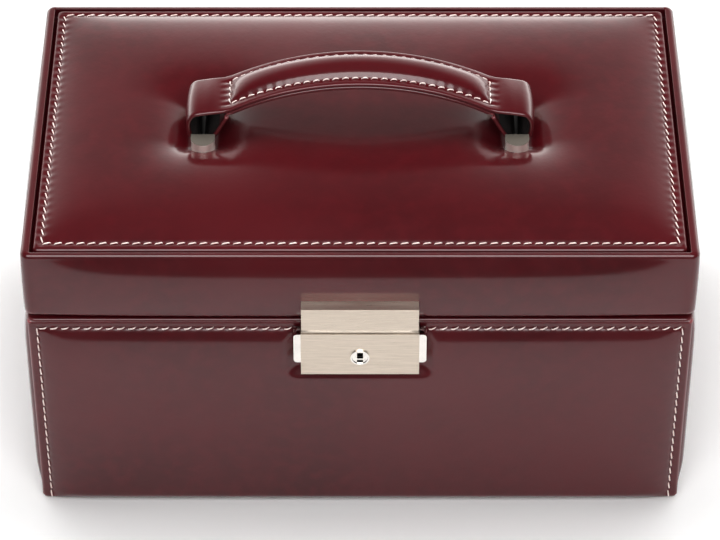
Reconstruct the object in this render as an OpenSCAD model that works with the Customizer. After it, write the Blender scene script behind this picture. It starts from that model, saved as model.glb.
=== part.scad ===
// Leather jewellery case with a hinged lid, a carrying handle, a push-button
// lock with a key cylinder, and a lift-out tray.
// The origin is the centre of the underside. +Z is up, and the lock faces -Y.

/* [Case] */
// Width across the front panel
case_w = 265; // [240:1:300]
// Depth from the front panel to the back panel
case_d = 160; // [140:1:190]
// Height of the base's top edge
base_h = 103.4; // [95:0.1:125]
// Radius of the case's upright corners
corner_r = 3.5; // [2:0.5:6]
// Thickness of the padded leather on the front, the back and under the case
cover_t = 3; // [2:0.5:4]
// Thickness of the leather under the case
sole_t = 2; // [1.5:0.5:3]
// How far the padded sides stand proud of the front panel's ends
side_bulge = 1.5; // [0:0.1:3]
// Thickness of the board walls and floor of the base
board_t = 4; // [3:0.5:6]
// Thickness of the leather edge on the base's top
binding_t = 1.5; // [1:0.1:2]
// Thickness of the lined card inside the base
lining_t = 1.8; // [1:0.1:2.5]
// How far the lining stands up above the base's top edge
collar_h = 5.1; // [3:0.1:8]

/* [Lid] */
// Gap between the lid and the base
lid_gap = 1.9; // [1:0.1:3]
// Height of the lid's rim above the floor
rim_z = 137; // [130:0.5:160]
// Thickness of the leather round the lid
band_t = 1.8; // [1:0.1:2.5]
// Thickness of the lid's board walls
lid_board_t = 3.2; // [2.5:0.1:5]
// Thickness of the lid's lining
lid_lining_t = 1; // [0.8:0.1:2]
// Thickness of the lid's top board
top_board_t = 4; // [3:0.5:6]
// Width of the raised rim round the top panel
rim_w = 3; // [2:0.5:5]
// Width of the groove between the rim and the top panel
groove_w = 1.7; // [1:0.1:3]
// Thickness of the card under the padded top panel
panel_board_t = 2; // [1.5:0.5:3]
// How far the top panel's padding rises above the rim
crown_h = 4.5; // [2:0.5:8]

/* [Hinge] */
// Length of the piano hinge
hinge_l = 240; // [180:12:240]
// Number of knuckles, shared between the two leaves
knuckle_count = 20; // [10:2:30]
// Radius of the hinge pin
pin_r = 1; // [0.8:0.1:1.2]
// Outer radius of a knuckle
knuckle_r = 1.8; // [1.6:0.1:2]
// Thickness of a hinge leaf
leaf_t = 0.8; // [0.6:0.1:1]
// Angle below or above level of each bevelled rear edge
bevel_angle = 51; // [47:1:60]

/* [Lock] */
// Width of the lower lock block
lock_w = 47.2; // [40:0.1:60]
// Height of the lower lock block
lock_h = 21.9; // [21:0.1:26]
// How far the lock stands out from the leather
lock_proud = 7; // [6.5:0.1:10]
// Thickness of the lock block's walls
lock_wall = 1.2; // [1:0.1:1.5]
// Width of the upper lock block on the lid
hasp_w = 46.5; // [40:0.1:60]
// How far a side button stands out
button_out = 2.9; // [2.5:0.1:4]
// How far a side button can be pressed in
button_travel = 2.3; // [1.5:0.1:2.4]
// Outer radius of the key cylinder's ring
barrel_r = 3.8; // [3.5:0.1:4]
// Radius of the turning plug
plug_r = 3.14; // [2.8:0.01:3.2]

/* [Handle] */
// Distance between the two handle pins
handle_span = 127; // [110:1:150]
// Width of the handle strap
strap_w = 22.8; // [20:0.1:23]
// Height of the strap's outer face at the middle
strap_top_z = 167.6; // [160:0.1:180]
// Radius of the strap's arch
arch_r = 112; // [105:1:130]
// Thickness of one leather layer of the strap
strap_t = 1.8; // [1.5:0.1:2]
// Radius of the padded grip
grip_r = 5.3; // [5:0.1:6]
// Length of the padded grip, measured straight across
grip_l = 104; // [90:1:106]
// Width of a handle post
post_w = 9.7; // [8:0.1:11]
// Depth of a handle post
post_d = 7.4; // [6:0.1:9]
// Height of the top of a handle post
post_top_z = 142.4; // [142:0.1:145]

/* [Inside] */
// Height of the lower compartments' dividers
divider_h = 50; // [30:1:54]
// Thickness of a divider
divider_t = 3; // [2:0.5:4]
// Height of the top of the ledges that carry the tray
ledge_z = 70; // [66:1:75]
// Height of the tray
tray_h = 29.8; // [24:0.1:30]
// Thickness of the tray's walls and floor
tray_t = 3; // [2:0.5:4]
// Radius of a ring roll
roll_r = 7; // [6:0.5:8]
// Number of ring rolls
roll_count = 4; // [3:1:4]
// Width of the mirror's frame, from side to side
frame_w = 210; // [180:1:220]
// Depth of the mirror's frame, from front to back
frame_d = 116; // [100:1:120]

/* [Hidden] */
$fn = 64;

leather = [0.36, 0.06, 0.10];
board = [0.72, 0.60, 0.45];
suede = [0.87, 0.80, 0.70];
nickel = [0.80, 0.77, 0.72];
chrome = [0.88, 0.88, 0.90];
brass = [0.80, 0.66, 0.36];

// Base, from the outside in
core_w = case_w - 2 * cover_t;
core_d = case_d - 2 * cover_t;
core_top = base_h - binding_t;
core_floor = sole_t + board_t;
lined_w = core_w - 2 * board_t;
lined_d = core_d - 2 * board_t;
room_w = lined_w - 2 * lining_t;
room_d = lined_d - 2 * lining_t;
room_floor = core_floor + lining_t;
collar_rear_y = 66;
edge_r = 3;

// Lower compartments
divider_x = room_w / 6;
divider_top = room_floor + divider_h;
divider_mid = room_floor + divider_h / 2;

// Lid, from the outside in
lid_z = base_h + lid_gap;
hem_t = 0.8;
lid_core_w = case_w - 2 * band_t;
lid_core_d = case_d - 2 * band_t;
lid_lined_w = lid_core_w - 2 * lid_board_t;
lid_lined_d = lid_core_d - 2 * lid_board_t;
lid_room_w = lid_lined_w - 2 * lid_lining_t;
lid_room_d = lid_lined_d - 2 * lid_lining_t;
top_board_z = rim_z - 5.5;
ceiling_z = top_board_z - top_board_t;
lid_lining_z = ceiling_z - lid_lining_t;
panel_w = case_w - 2 * (rim_w + groove_w);
panel_d = case_d - 2 * (rim_w + groove_w);
pad_z = top_board_z + panel_board_t;

// Hinge
hinge_y = case_d / 2 - 2.5;
hinge_z = base_h + lid_gap / 2;
leaf_y = core_d / 2;
bore_clearance = 0.05;
swing_clearance = 0.3;
groove_r = knuckle_r + swing_clearance;
knuckle_pitch = hinge_l / knuckle_count;
leaf_h = 12;
base_leaf_top = hinge_z - groove_r - 0.05;
lid_leaf_bottom = hinge_z + groove_r + 0.05;
hinge_screw_x = [for (i = [-3 : 3]) i * 36];
hinge_screw_r = 0.8;
hinge_head_r = 1.6;
hinge_screw_l = 2.6;

// Lock
front_y = -case_d / 2;
lock_front_y = front_y - lock_proud;
lock_z = core_top - lock_h;
cavity_front_y = lock_front_y + lock_wall;
plate_t = 0.8;
plate_y = front_y - plate_t;
cavity_x = lock_w / 2 - lock_wall;
key_z = lock_z + 9.5;
barrel_rear_y = lock_front_y + 4.3;
plug_rear_y = lock_front_y + 4.7;
barrel_proud = 0.6;
cam_reach = 4.5;
cam_t = 1;
slide_t = 1;
front_slide_y = cavity_front_y + 0.1;
rear_slide_y = cavity_front_y + 3.7;
tongue_y = cavity_front_y + 1.8;
tongue_t = 1.2;
tongue_head_z = lock_z + 15.2;
tongue_neck_z = lock_z + 18;
slide_z = lock_z + 14.4;
slide_top_z = lock_z + 20.2;
flange_x = cavity_x - 0.2;
flange_t = 2;
button_z = lock_z + 5.1;
button_top_z = lock_z + 20.3;
button_y = cavity_front_y + 0.3;
button_rear_y = plate_y - 0.3;
arm_z = lock_z + 8;
arm_top_z = lock_z + 11;
foot_x = cam_reach + button_travel + 0.2;
spring_z = lock_z + 4.7;
spring_y = (cavity_front_y + plate_y) / 2 + 0.2;
spring_r = 1.6;
spring_wire_r = 0.25;
spring_turns = 6;
lug_x = 9.5;
lug_t = 1;
hasp_z = lid_z - 1.3;
hasp_top_z = hasp_z + 11.2;
lock_screw_r = 1.3;
hasp_screw_r = 1.4;
hasp_screw_x = 14;

// Handle
pin_x = handle_span / 2;
loop_pin_r = 1.5;
loop_pin_z = post_top_z - 2.5;
loop_lift = 1.6;
post_flat_y = strap_w / 2 + 0.7;
post_mid_y = post_flat_y + post_d - post_w / 2;
arch_z = strap_top_z - arch_r;
strap_total_t = 2 * strap_t;
handle_screw_r = 1.5;
washer_r = 4;
washer_t = 0.8;
head_r = 2.8;
head_h = 1.8;
dimple_w = 22;
dimple_z = loop_pin_z - loop_pin_r - loop_lift - strap_t - 0.3;

// Tray and mirror
tray_gap = 0.8;
tray_w = room_w - 2 * tray_gap;
tray_d = room_d - 2 * tray_gap;
tray_z = ledge_z + 0.2;
tray_floor = tray_z + tray_t;
tray_lining_t = 1;
tray_room_w = tray_w - 2 * (tray_t + tray_lining_t);
tray_room_d = tray_d - 2 * (tray_t + tray_lining_t);
tray_room_floor = tray_floor + tray_lining_t;
tray_top = tray_z + tray_h;
tray_split_x = 20;
tray_split_y = 0;
partition_t = 2;
partition_top = tray_top - 3;
frame_z = lid_lining_z - 5;
mirror_t = 2.2;
mirror_lip = 3;
mirror_border = 13;

// A rectangle with round corners, centred
module rounded_rect(w, d, r) {
    square([w - 2 * r, d], center = true);
    square([w, d - 2 * r], center = true);
    for (x = [-1, 1], y = [-1, 1])
        translate([x * (w / 2 - r), y * (d / 2 - r)]) circle(r = r);
}

// A level slab with round upright corners, from z0 to z1
module slab(w, d, r, z0, z1) {
    translate([0, 0, z0]) linear_extrude(z1 - z0) rounded_rect(w, d, r);
}

// A box from one corner to the opposite one
module box(low, high) {
    translate(low) cube(high - low);
}

// A (y, z) outline drawn out along X, centred
module along_x(length) {
    rotate([90, 0, 90]) linear_extrude(length, center = true) children();
}

// An (x, z) outline drawn out along Y, centred
module along_y(length) {
    rotate([90, 0, 0]) linear_extrude(length, center = true) children();
}

// A round bar along Y from y0 to y1
module bar_y(x, z, r, y0, y1) {
    translate([x, y1, z]) rotate([90, 0, 0]) cylinder(r = r, h = y1 - y0);
}

// Room for the knuckles in both rear edges
module hinge_groove() {
    translate([0, hinge_y, hinge_z]) rotate([0, 90, 0])
        cylinder(r = groove_r, h = hinge_l + 2 * swing_clearance, center = true);
}

// Room for the base's hinge leaf, between the board and the leather
module base_leaf_pocket() {
    box([-hinge_l / 2 - 0.2, leaf_y - 0.1, base_leaf_top - leaf_h - 0.2],
        [hinge_l / 2 + 0.2, leaf_y + leaf_t, hinge_z]);
}

// The wedge between the two bevelled rear edges, which meet when the lid is open
module bevel_wedge() {
    reach = 10;
    rise = reach * tan(bevel_angle);
    along_x(case_w + 20)
        polygon([[hinge_y, hinge_z], [hinge_y + reach, hinge_z - rise],
                 [hinge_y + reach, hinge_z + rise]]);
}

// ---- Base ----

module base_core() {
    color(board) difference() {
        slab(core_w, core_d, 1, sole_t, core_top);
        slab(lined_w, lined_d, 1, core_floor, core_top + 1);
        hinge_screw_set(base_leaf_top - leaf_h / 2);
        lock_screw_set();
    }
}

// One leather strip up the front, under the case and up the back
module base_cover() {
    color(leather) difference() {
        intersection() {
            slab(case_w, case_d, corner_r, 0, core_top);
            along_x(case_w) union() {
                translate([0, base_h / 2]) rounded_rect(case_d, base_h, edge_r);
                translate([-case_d / 2, base_h / 2]) square([case_d, base_h / 2]);
            }
        }
        box([-case_w, -core_d / 2, sole_t], [case_w, core_d / 2, base_h]);
        base_leaf_pocket();
        bevel_wedge();
        hinge_groove();
        lock_screw_set();
    }
}

// A padded side: its outline swells between the front and the back strip
module side_cover(side) {
    steps = 12;
    half_d = core_d / 2;
    outer_x = case_w / 2;
    swell = [for (i = [0 : steps]) let (t = -1 + 2 * i / steps)
        [side * (outer_x + side_bulge * (1 - t * t)), t * half_d]];
    color(leather) translate([0, 0, sole_t]) linear_extrude(core_top - sole_t)
        polygon(concat([[side * core_w / 2, -half_d]], swell, [[side * core_w / 2, half_d]]));
}

module side_cover_left() { side_cover(-1); }
module side_cover_right() { side_cover(1); }

module base_rim_binding() {
    color(leather) difference() {
        slab(case_w, case_d, corner_r, core_top, base_h);
        slab(lined_w, lined_d, 1, core_top - 1, base_h + 1);
        base_leaf_pocket();
        bevel_wedge();
        hinge_groove();
    }
}

module base_lining() {
    color(suede) difference() {
        union() {
            slab(lined_w, lined_d, 1, core_floor, base_h);
            intersection() {
                slab(lined_w, lined_d, 1, core_floor, base_h + collar_h);
                box([-case_w, -case_d, core_floor], [case_w, collar_rear_y, rim_z]);
            }
        }
        slab(room_w, room_d, 1, room_floor, rim_z);
    }
}

module tray_ledges() {
    ledge_w = 6;
    ledge_h = 6;
    color(suede) for (side = [-1, 1])
        translate([side * (room_w / 2 - ledge_w / 2), 0, ledge_z - ledge_h / 2])
            cube([ledge_w, room_d - 4, ledge_h], center = true);
}

module divider_long() {
    color(suede) difference() {
        box([-room_w / 2, -divider_t / 2, room_floor], [room_w / 2, divider_t / 2, divider_top]);
        for (x = [-divider_x, divider_x])
            box([x - divider_t / 2, -divider_t, divider_mid],
                [x + divider_t / 2, divider_t, divider_top + 1]);
    }
}

module dividers_short() {
    color(suede) for (x = [-divider_x, divider_x]) difference() {
        box([x - divider_t / 2, -room_d / 2, room_floor],
            [x + divider_t / 2, room_d / 2, divider_top]);
        box([x - divider_t, -divider_t / 2, room_floor - 1],
            [x + divider_t, divider_t / 2, divider_mid]);
    }
}

// ---- Hinge ----

// Countersunk screws into the board, flush with the leaf
module hinge_screw_set(z) {
    for (x = hinge_screw_x) translate([x, leaf_y + leaf_t, z]) rotate([90, 0, 0]) {
        cylinder(r1 = hinge_head_r, r2 = hinge_screw_r, h = leaf_t);
        cylinder(r = hinge_screw_r, h = hinge_screw_l);
    }
}

// parity picks every second knuckle
module knuckles(parity, web_z0, web_z1) {
    side_gap = 0.15;
    for (i = [parity : 2 : knuckle_count - 1]) {
        x = -hinge_l / 2 + (i + 0.5) * knuckle_pitch;
        length = knuckle_pitch - 2 * side_gap;
        translate([x, hinge_y, hinge_z]) rotate([0, 90, 0])
            cylinder(r = knuckle_r, h = length, center = true);
        box([x - length / 2, leaf_y, web_z0], [x + length / 2, leaf_y + leaf_t, web_z1]);
    }
}

module pin_bore() {
    translate([0, hinge_y, hinge_z]) rotate([0, 90, 0])
        cylinder(r = pin_r + bore_clearance, h = hinge_l + 2, center = true);
}

module hinge_leaf_base() {
    color(brass) difference() {
        union() {
            box([-hinge_l / 2, leaf_y, base_leaf_top - leaf_h],
                [hinge_l / 2, leaf_y + leaf_t, base_leaf_top]);
            knuckles(0, base_leaf_top - 0.5, hinge_z - pin_r);
        }
        pin_bore();
        hinge_screw_set(base_leaf_top - leaf_h / 2);
    }
}

module hinge_leaf_lid() {
    color(brass) difference() {
        union() {
            box([-hinge_l / 2, leaf_y, lid_leaf_bottom],
                [hinge_l / 2, leaf_y + leaf_t, lid_leaf_bottom + leaf_h]);
            knuckles(1, hinge_z + pin_r, lid_leaf_bottom + 0.5);
        }
        pin_bore();
        hinge_screw_set(lid_leaf_bottom + leaf_h / 2);
    }
}

module hinge_pin() {
    color(chrome) translate([0, hinge_y, hinge_z]) rotate([0, 90, 0])
        cylinder(r = pin_r, h = hinge_l, center = true);
}

module hinge_screws_base() {
    color(brass) hinge_screw_set(base_leaf_top - leaf_h / 2);
}

module hinge_screws_lid() {
    color(brass) hinge_screw_set(lid_leaf_bottom + leaf_h / 2);
}

// ---- Lock ----

// Screws from inside the front board into the lock's back plate
module lock_screw_set() {
    head_t = 1.2;
    inner_y = -lined_d / 2;
    for (x = [-15, 15], z = [lock_z + 4, lock_z + 18])
        translate([x, inner_y, z]) rotate([90, 0, 0]) {
            cylinder(r1 = 2.4, r2 = lock_screw_r, h = head_t);
            cylinder(r = lock_screw_r, h = inner_y - plate_y);
        }
}

module lock_housing() {
    slot_x = 6.6;
    color(nickel) difference() {
        box([-lock_w / 2, lock_front_y, lock_z], [lock_w / 2, front_y, core_top]);
        box([-cavity_x, cavity_front_y, lock_z + lock_wall],
            [cavity_x, front_y + 1, core_top - lock_wall]);
        // Slot for the hasp's tongue
        box([-slot_x, tongue_y - 0.8, core_top - 3], [slot_x, tongue_y + tongue_t + 0.6, base_h]);
        // Side windows for the buttons
        box([-lock_w, cavity_front_y, button_z - 0.25], [lock_w, plate_y, button_top_z + 0.25]);
        bar_y(0, key_z, barrel_r, lock_front_y - 1, front_y);
    }
}

module lock_back_plate() {
    color(nickel) difference() {
        union() {
            box([-cavity_x, plate_y, lock_z + lock_wall], [cavity_x, front_y, core_top - lock_wall]);
            for (side = [-1, 1]) translate([side * (lug_x + lug_t / 2), 0, 0])
                box([-lug_t / 2, cavity_front_y + 1, spring_z - 2.2],
                    [lug_t / 2, plate_y, spring_z + 2.2]);
        }
        lock_screw_set();
    }
}

module lock_screws() {
    color(chrome) lock_screw_set();
}

module lock_barrel() {
    color(chrome) difference() {
        bar_y(0, key_z, barrel_r, lock_front_y - barrel_proud, barrel_rear_y);
        bar_y(0, key_z, plug_r + 0.06, lock_front_y - 2, barrel_rear_y + 1);
    }
}

// A wide keyway with a ward across it
module lock_plug() {
    keyway_w = 2.4;
    keyway_h = 5.0;
    ward_h = 0.8;
    ward_drop = 0.9;
    tail_r = 1.5;
    plug_front_y = lock_front_y - 0.3;
    ward_z = key_z - ward_drop;
    color(chrome) difference() {
        union() {
            bar_y(0, key_z, plug_r, plug_front_y, plug_rear_y);
            bar_y(0, key_z, tail_r, plug_rear_y - 1, plug_rear_y + cam_t + 0.3);
        }
        box([-keyway_w / 2, plug_front_y - 1, ward_z + ward_h / 2],
            [keyway_w / 2, plug_rear_y - 0.8, key_z + keyway_h / 2]);
        box([-keyway_w / 2, plug_front_y - 1, key_z - keyway_h / 2],
            [keyway_w / 2, plug_rear_y - 0.8, ward_z - ward_h / 2]);
    }
}

// A two-ended cam: upright when unlocked, level when locked
module lock_cam() {
    cam_w = 3.4;
    tail_r = 1.5;
    color(nickel) difference() {
        translate([0, plug_rear_y + cam_t / 2, key_z]) along_y(cam_t) union() {
            square([cam_w, 2 * (cam_reach - cam_w / 2)], center = true);
            for (s = [-1, 1]) translate([0, s * (cam_reach - cam_w / 2)]) circle(r = cam_w / 2);
        }
        bar_y(0, key_z, tail_r, plug_rear_y - 1, plug_rear_y + 3);
    }
}

// The spring clip that holds the cam on the plug's tail
module lock_cam_clip() {
    clip_t = 0.3;
    tail_end = plug_rear_y + cam_t + clip_t;
    color(chrome) difference() {
        bar_y(0, key_z, 2.3, tail_end - clip_t, tail_end);
        bar_y(0, key_z, 1.5, tail_end - 1, tail_end + 1);
    }
}

// The tab outside the block, rounded on its outer corners
module lock_button(side) {
    tab_r = 1.5;
    outer_x = lock_w / 2 + button_out;
    height = button_top_z - button_z;
    color(chrome) translate([0, (button_y + button_rear_y) / 2, button_z])
        along_y(button_rear_y - button_y) union() {
            translate([side * (outer_x + flange_x) / 2, height / 2])
                rounded_rect(outer_x - flange_x, height, tab_r);
            translate([side * (flange_x + (outer_x - flange_x) / 4), height / 2])
                square([(outer_x - flange_x) / 2, height], center = true);
        }
}

module lock_button_left() { lock_button(-1); }
module lock_button_right() { lock_button(1); }

// Bent plate behind a button: it crosses behind the tongue, and its nose holds
// the tongue's far shoulder. slide_y is the plate's front face, and nose_y0 to
// nose_y1 the depth of its nose.
module latch_slide(side, slide_y, nose_y0, nose_y1) {
    nose_x = 6.4;
    nose_w = 2;
    inner_x = flange_x - flange_t;
    color(nickel) mirror([side > 0 ? 1 : 0, 0, 0]) {
        box([-flange_x, front_slide_y, lock_z + 2.4], [-inner_x, button_rear_y, slide_top_z]);
        box([-inner_x, slide_y, slide_z], [nose_x + nose_w, slide_y + slide_t, slide_top_z]);
        box([nose_x, nose_y0, tongue_neck_z + 0.3], [nose_x + nose_w, nose_y1, slide_top_z]);
        box([-inner_x, slide_y, arm_z], [-foot_x, slide_y + slide_t, arm_top_z]);
        box([-foot_x - 2, slide_y, arm_z], [-foot_x, rear_slide_y + slide_t, arm_top_z]);
    }
}

module latch_slide_left() {
    latch_slide(-1, front_slide_y, front_slide_y, rear_slide_y - 0.4);
}

module latch_slide_right() {
    latch_slide(1, rear_slide_y, front_slide_y + slide_t + 0.4, rear_slide_y + slide_t);
}

// A coil of wire swept along X as one closed skin
module coil(length, turns, r, wire_r) {
    sides = 8;
    per_turn = 14;
    rings = turns * per_turn;
    points = [for (i = [0 : rings], k = [0 : sides - 1])
        let (a = 360 * i / per_turn, b = 360 * k / sides, q = r + wire_r * cos(b))
        [length * i / rings + wire_r * sin(b), q * cos(a), q * sin(a)]];
    walls = [for (i = [0 : rings - 1], k = [0 : sides - 1])
        let (n = (k + 1) % sides, p = i * sides, q = p + sides)
        [p + k, p + n, q + n, q + k]];
    start = [[for (k = [sides - 1 : -1 : 0]) k]];
    end = [[for (k = [0 : sides - 1]) rings * sides + k]];
    polyhedron(points, concat(walls, start, end), convexity = 10);
}

module lock_spring(side) {
    play = 0.3;
    start_x = lug_x + lug_t + play;
    end_x = flange_x - flange_t - play;
    color(nickel) mirror([side > 0 ? 0 : 1, 0, 0]) translate([start_x, spring_y, spring_z])
        coil(end_x - start_x, spring_turns, spring_r, spring_wire_r);
}

module lock_spring_left() { lock_spring(-1); }
module lock_spring_right() { lock_spring(1); }

// Screws from inside the lid's front board into the hasp
module hasp_screw_set() {
    head_t = 1.2;
    inner_y = -lid_lined_d / 2;
    for (x = [-hasp_screw_x, hasp_screw_x])
        translate([x, inner_y, hasp_z + 6]) rotate([90, 0, 0]) {
            cylinder(r1 = 2.6, r2 = hasp_screw_r, h = head_t);
            cylinder(r = hasp_screw_r, h = inner_y - lock_front_y - 2);
        }
}

module lock_hasp() {
    head_x = 6;
    neck_x = 3.5;
    color(nickel) difference() {
        union() {
            box([-hasp_w / 2, lock_front_y, hasp_z], [hasp_w / 2, front_y, hasp_top_z]);
            box([-neck_x, tongue_y, tongue_neck_z - 1], [neck_x, tongue_y + tongue_t, hasp_z + 1]);
            box([-head_x, tongue_y, tongue_head_z], [head_x, tongue_y + tongue_t, tongue_neck_z]);
        }
        hasp_screw_set();
    }
}

module hasp_screws() {
    color(chrome) hasp_screw_set();
}

// ---- Lid ----

module lid_core() {
    color(board) difference() {
        slab(lid_core_w, lid_core_d, corner_r - 1.5, lid_z + hem_t, top_board_z);
        slab(lid_lined_w, lid_lined_d, 1, lid_z, ceiling_z);
        // Rebate for the hinge leaf
        box([-hinge_l / 2 - 0.2, leaf_y, lid_z],
            [hinge_l / 2 + 0.2, case_d, lid_leaf_bottom + leaf_h + 0.2]);
        hinge_groove();
        hinge_screw_set(lid_leaf_bottom + leaf_h / 2);
        hasp_screw_set();
        handle_screw_holes();
    }
}

// Leather round the lid's walls, turned in below and over the rim above
module lid_band() {
    color(leather) difference() {
        slab(case_w, case_d, corner_r, lid_z, rim_z);
        slab(lid_room_w, lid_room_d, 1, lid_z - 1, lid_z + hem_t);
        slab(lid_core_w, lid_core_d, corner_r - 1.5, lid_z + hem_t, top_board_z);
        slab(case_w - 2 * rim_w, case_d - 2 * rim_w, 1, top_board_z, rim_z + 1);
        bevel_wedge();
        hinge_groove();
        hasp_screw_set();
    }
}

module lid_panel_board() {
    color(board) difference() {
        slab(panel_w, panel_d, 2, top_board_z, pad_z);
        handle_screw_holes();
    }
}

// Padded leather panel: a flat border, a crown, and a dimple round each loop
module lid_top_panel() {
    border = 7;
    crown_run = 22;
    module crown_slice(inset, z) {
        translate([0, 0, z]) linear_extrude(0.01)
            rounded_rect(panel_w - 2 * inset, panel_d - 2 * inset, 8);
    }
    color(leather) difference() {
        union() {
            slab(panel_w, panel_d, 2, pad_z, rim_z);
            hull() {
                crown_slice(border, rim_z - 0.5);
                crown_slice(border + crown_run, rim_z + crown_h - 0.01);
            }
        }
        for (side = [-1, 1]) translate([side * pin_x, 0, 0])
            slab(dimple_w, 2 * (post_flat_y + post_d) + 3, 8, dimple_z, rim_z + 10);
        for (x = [-1, 1], y = [-1, 1]) post_outline(x, y, pad_z - 1, rim_z);
    }
}

module lid_lining() {
    color(suede) difference() {
        slab(lid_lined_w, lid_lined_d, 1, lid_z + hem_t, ceiling_z);
        slab(lid_room_w, lid_room_d, 1, lid_z, lid_lining_z);
        for (x = [-1, 1], y = [-1, 1]) translate([x * pin_x, y * post_mid_y, ceiling_z - 3])
            cylinder(r = washer_r + 0.3, h = 4);
    }
}

module mirror_frame() {
    opening_w = frame_w - 2 * mirror_border;
    opening_d = frame_d - 2 * mirror_border;
    lip_t = 0.6;
    color(suede) difference() {
        slab(frame_w, frame_d, 6, frame_z, lid_lining_z);
        slab(opening_w, opening_d, 3, frame_z - 1, frame_z + lip_t);
        slab(opening_w + 2 * mirror_lip, opening_d + 2 * mirror_lip, 3,
             frame_z + lip_t, frame_z + lip_t + mirror_t);
        for (x = [-1, 1], y = [-1, 1])
            translate([x * pin_x, y * post_mid_y, lid_lining_z - head_h])
                cylinder(r = washer_r + 0.3, h = 4);
    }
}

module lid_mirror() {
    opening_w = frame_w - 2 * mirror_border;
    opening_d = frame_d - 2 * mirror_border;
    lip_t = 0.6;
    color("lightblue") slab(opening_w + 2 * mirror_lip, opening_d + 2 * mirror_lip, 3,
                            frame_z + lip_t, frame_z + lip_t + mirror_t);
}

// ---- Handle ----

module handle_screw_holes() {
    for (x = [-1, 1], y = [-1, 1]) translate([x * pin_x, y * post_mid_y, 0])
        cylinder(r = handle_screw_r + 0.2, h = rim_z);
}

// A post's D shape: round on the outside, flat towards the strap
module post_outline(x, y, z0, z1) {
    half_w = post_w / 2;
    translate([x * pin_x, 0, z0]) mirror([0, y < 0 ? 1 : 0, 0]) linear_extrude(z1 - z0)
        intersection() {
            union() {
                translate([0, post_mid_y]) circle(r = half_w);
                translate([-half_w, post_flat_y]) square([post_w, post_mid_y - post_flat_y]);
            }
            translate([-half_w, post_flat_y]) square([post_w, post_d]);
        }
}

module handle_post(x, y) {
    color(chrome) difference() {
        post_outline(x, y, pad_z, post_top_z);
        bar_y(x * pin_x, loop_pin_z, loop_pin_r, -post_mid_y - 1.5, post_mid_y + 1.5);
        translate([x * pin_x, y * post_mid_y, 0]) cylinder(r = handle_screw_r, h = rim_z + 1);
    }
}

module handle_post_front_left() { handle_post(-1, -1); }
module handle_post_front_right() { handle_post(1, -1); }
module handle_post_rear_left() { handle_post(-1, 1); }
module handle_post_rear_right() { handle_post(1, 1); }

module handle_pin(side) {
    color(chrome)
        bar_y(side * pin_x, loop_pin_z, loop_pin_r, -post_mid_y - 1.5, post_mid_y + 1.5);
}

module handle_pin_left() { handle_pin(-1); }
module handle_pin_right() { handle_pin(1); }

module handle_washers() {
    color(chrome) for (x = [-1, 1], y = [-1, 1])
        translate([x * pin_x, y * post_mid_y, ceiling_z - washer_t]) difference() {
            cylinder(r = washer_r, h = washer_t);
            translate([0, 0, -1]) cylinder(r = handle_screw_r, h = washer_t + 2);
        }
}

module handle_screws() {
    head_z = ceiling_z - washer_t - head_h;
    slot_w = 0.8;
    color(chrome) for (x = [-1, 1], y = [-1, 1])
        translate([x * pin_x, y * post_mid_y, 0]) difference() {
            union() {
                translate([0, 0, head_z]) cylinder(r = head_r, h = head_h);
                translate([0, 0, head_z]) cylinder(r = handle_screw_r, h = rim_z + 1 - head_z);
            }
            translate([-head_r, -slot_w / 2, head_z - 1]) cube([2 * head_r, slot_w, 1.8]);
        }
}

// One arched band of the strap, between two radii, as far as half_x to each side
module arch_band(r_out, r_in, half_x) {
    intersection() {
        translate([0, arch_z]) difference() {
            circle(r = r_out, $fn = 180);
            circle(r = r_in, $fn = 180);
        }
        translate([-half_x, arch_z + 50]) square([2 * half_x, arch_r]);
    }
}

// The end loop's outline, shrunk by inset: it hangs round the pin, and its tail
// runs back up to the end of the grip
module loop_outline(side, inset) {
    bottom_r = loop_pin_r + loop_lift + strap_t;
    tail_r = 2.1;
    shoulder_r = 4.6;
    hull() {
        translate([side * pin_x, loop_pin_z]) circle(r = bottom_r - inset, $fn = 48);
        translate([side * (pin_x + 1.9), loop_pin_z + 7.3]) circle(r = shoulder_r - inset, $fn = 48);
        translate([side * (pin_x - 9.5), loop_pin_z + 11.6]) circle(r = tail_r - inset, $fn = 24);
    }
}

// The grip's round section swept along the arch
module grip_sweep(r) {
    half_angle = asin(grip_l / 2 / (arch_r - strap_t));
    translate([0, 0, arch_z]) rotate([90, 0, 0]) rotate([0, 0, 90 - half_angle])
        rotate_extrude(angle = 2 * half_angle, $fn = 180)
            translate([arch_r - strap_t, 0]) circle(r = r, $fn = 40);
}

// Two leather layers stitched together, swollen over the filler, with a loop at each end
module handle_strap() {
    color(leather) difference() {
        union() {
            along_y(strap_w) union() {
                arch_band(arch_r, arch_r - strap_total_t, grip_l / 2 + 3);
                for (side = [-1, 1]) difference() {
                    loop_outline(side, 0);
                    loop_outline(side, strap_t);
                }
            }
            grip_sweep(grip_r);
        }
        grip_sweep(grip_r - strap_t + 0.3);
    }
}

module handle_filler() {
    color(board) grip_sweep(grip_r - strap_t + 0.3);
}

// ---- Tray ----

module tray_shell() {
    color(leather) difference() {
        slab(tray_w, tray_d, 2, tray_z, tray_top);
        slab(tray_w - 2 * tray_t, tray_d - 2 * tray_t, 1, tray_floor, tray_top + 1);
    }
}

module tray_lining() {
    color(suede) difference() {
        slab(tray_w - 2 * tray_t, tray_d - 2 * tray_t, 1, tray_floor, tray_top - 1);
        slab(tray_room_w, tray_room_d, 1, tray_room_floor, tray_top);
    }
}

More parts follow.
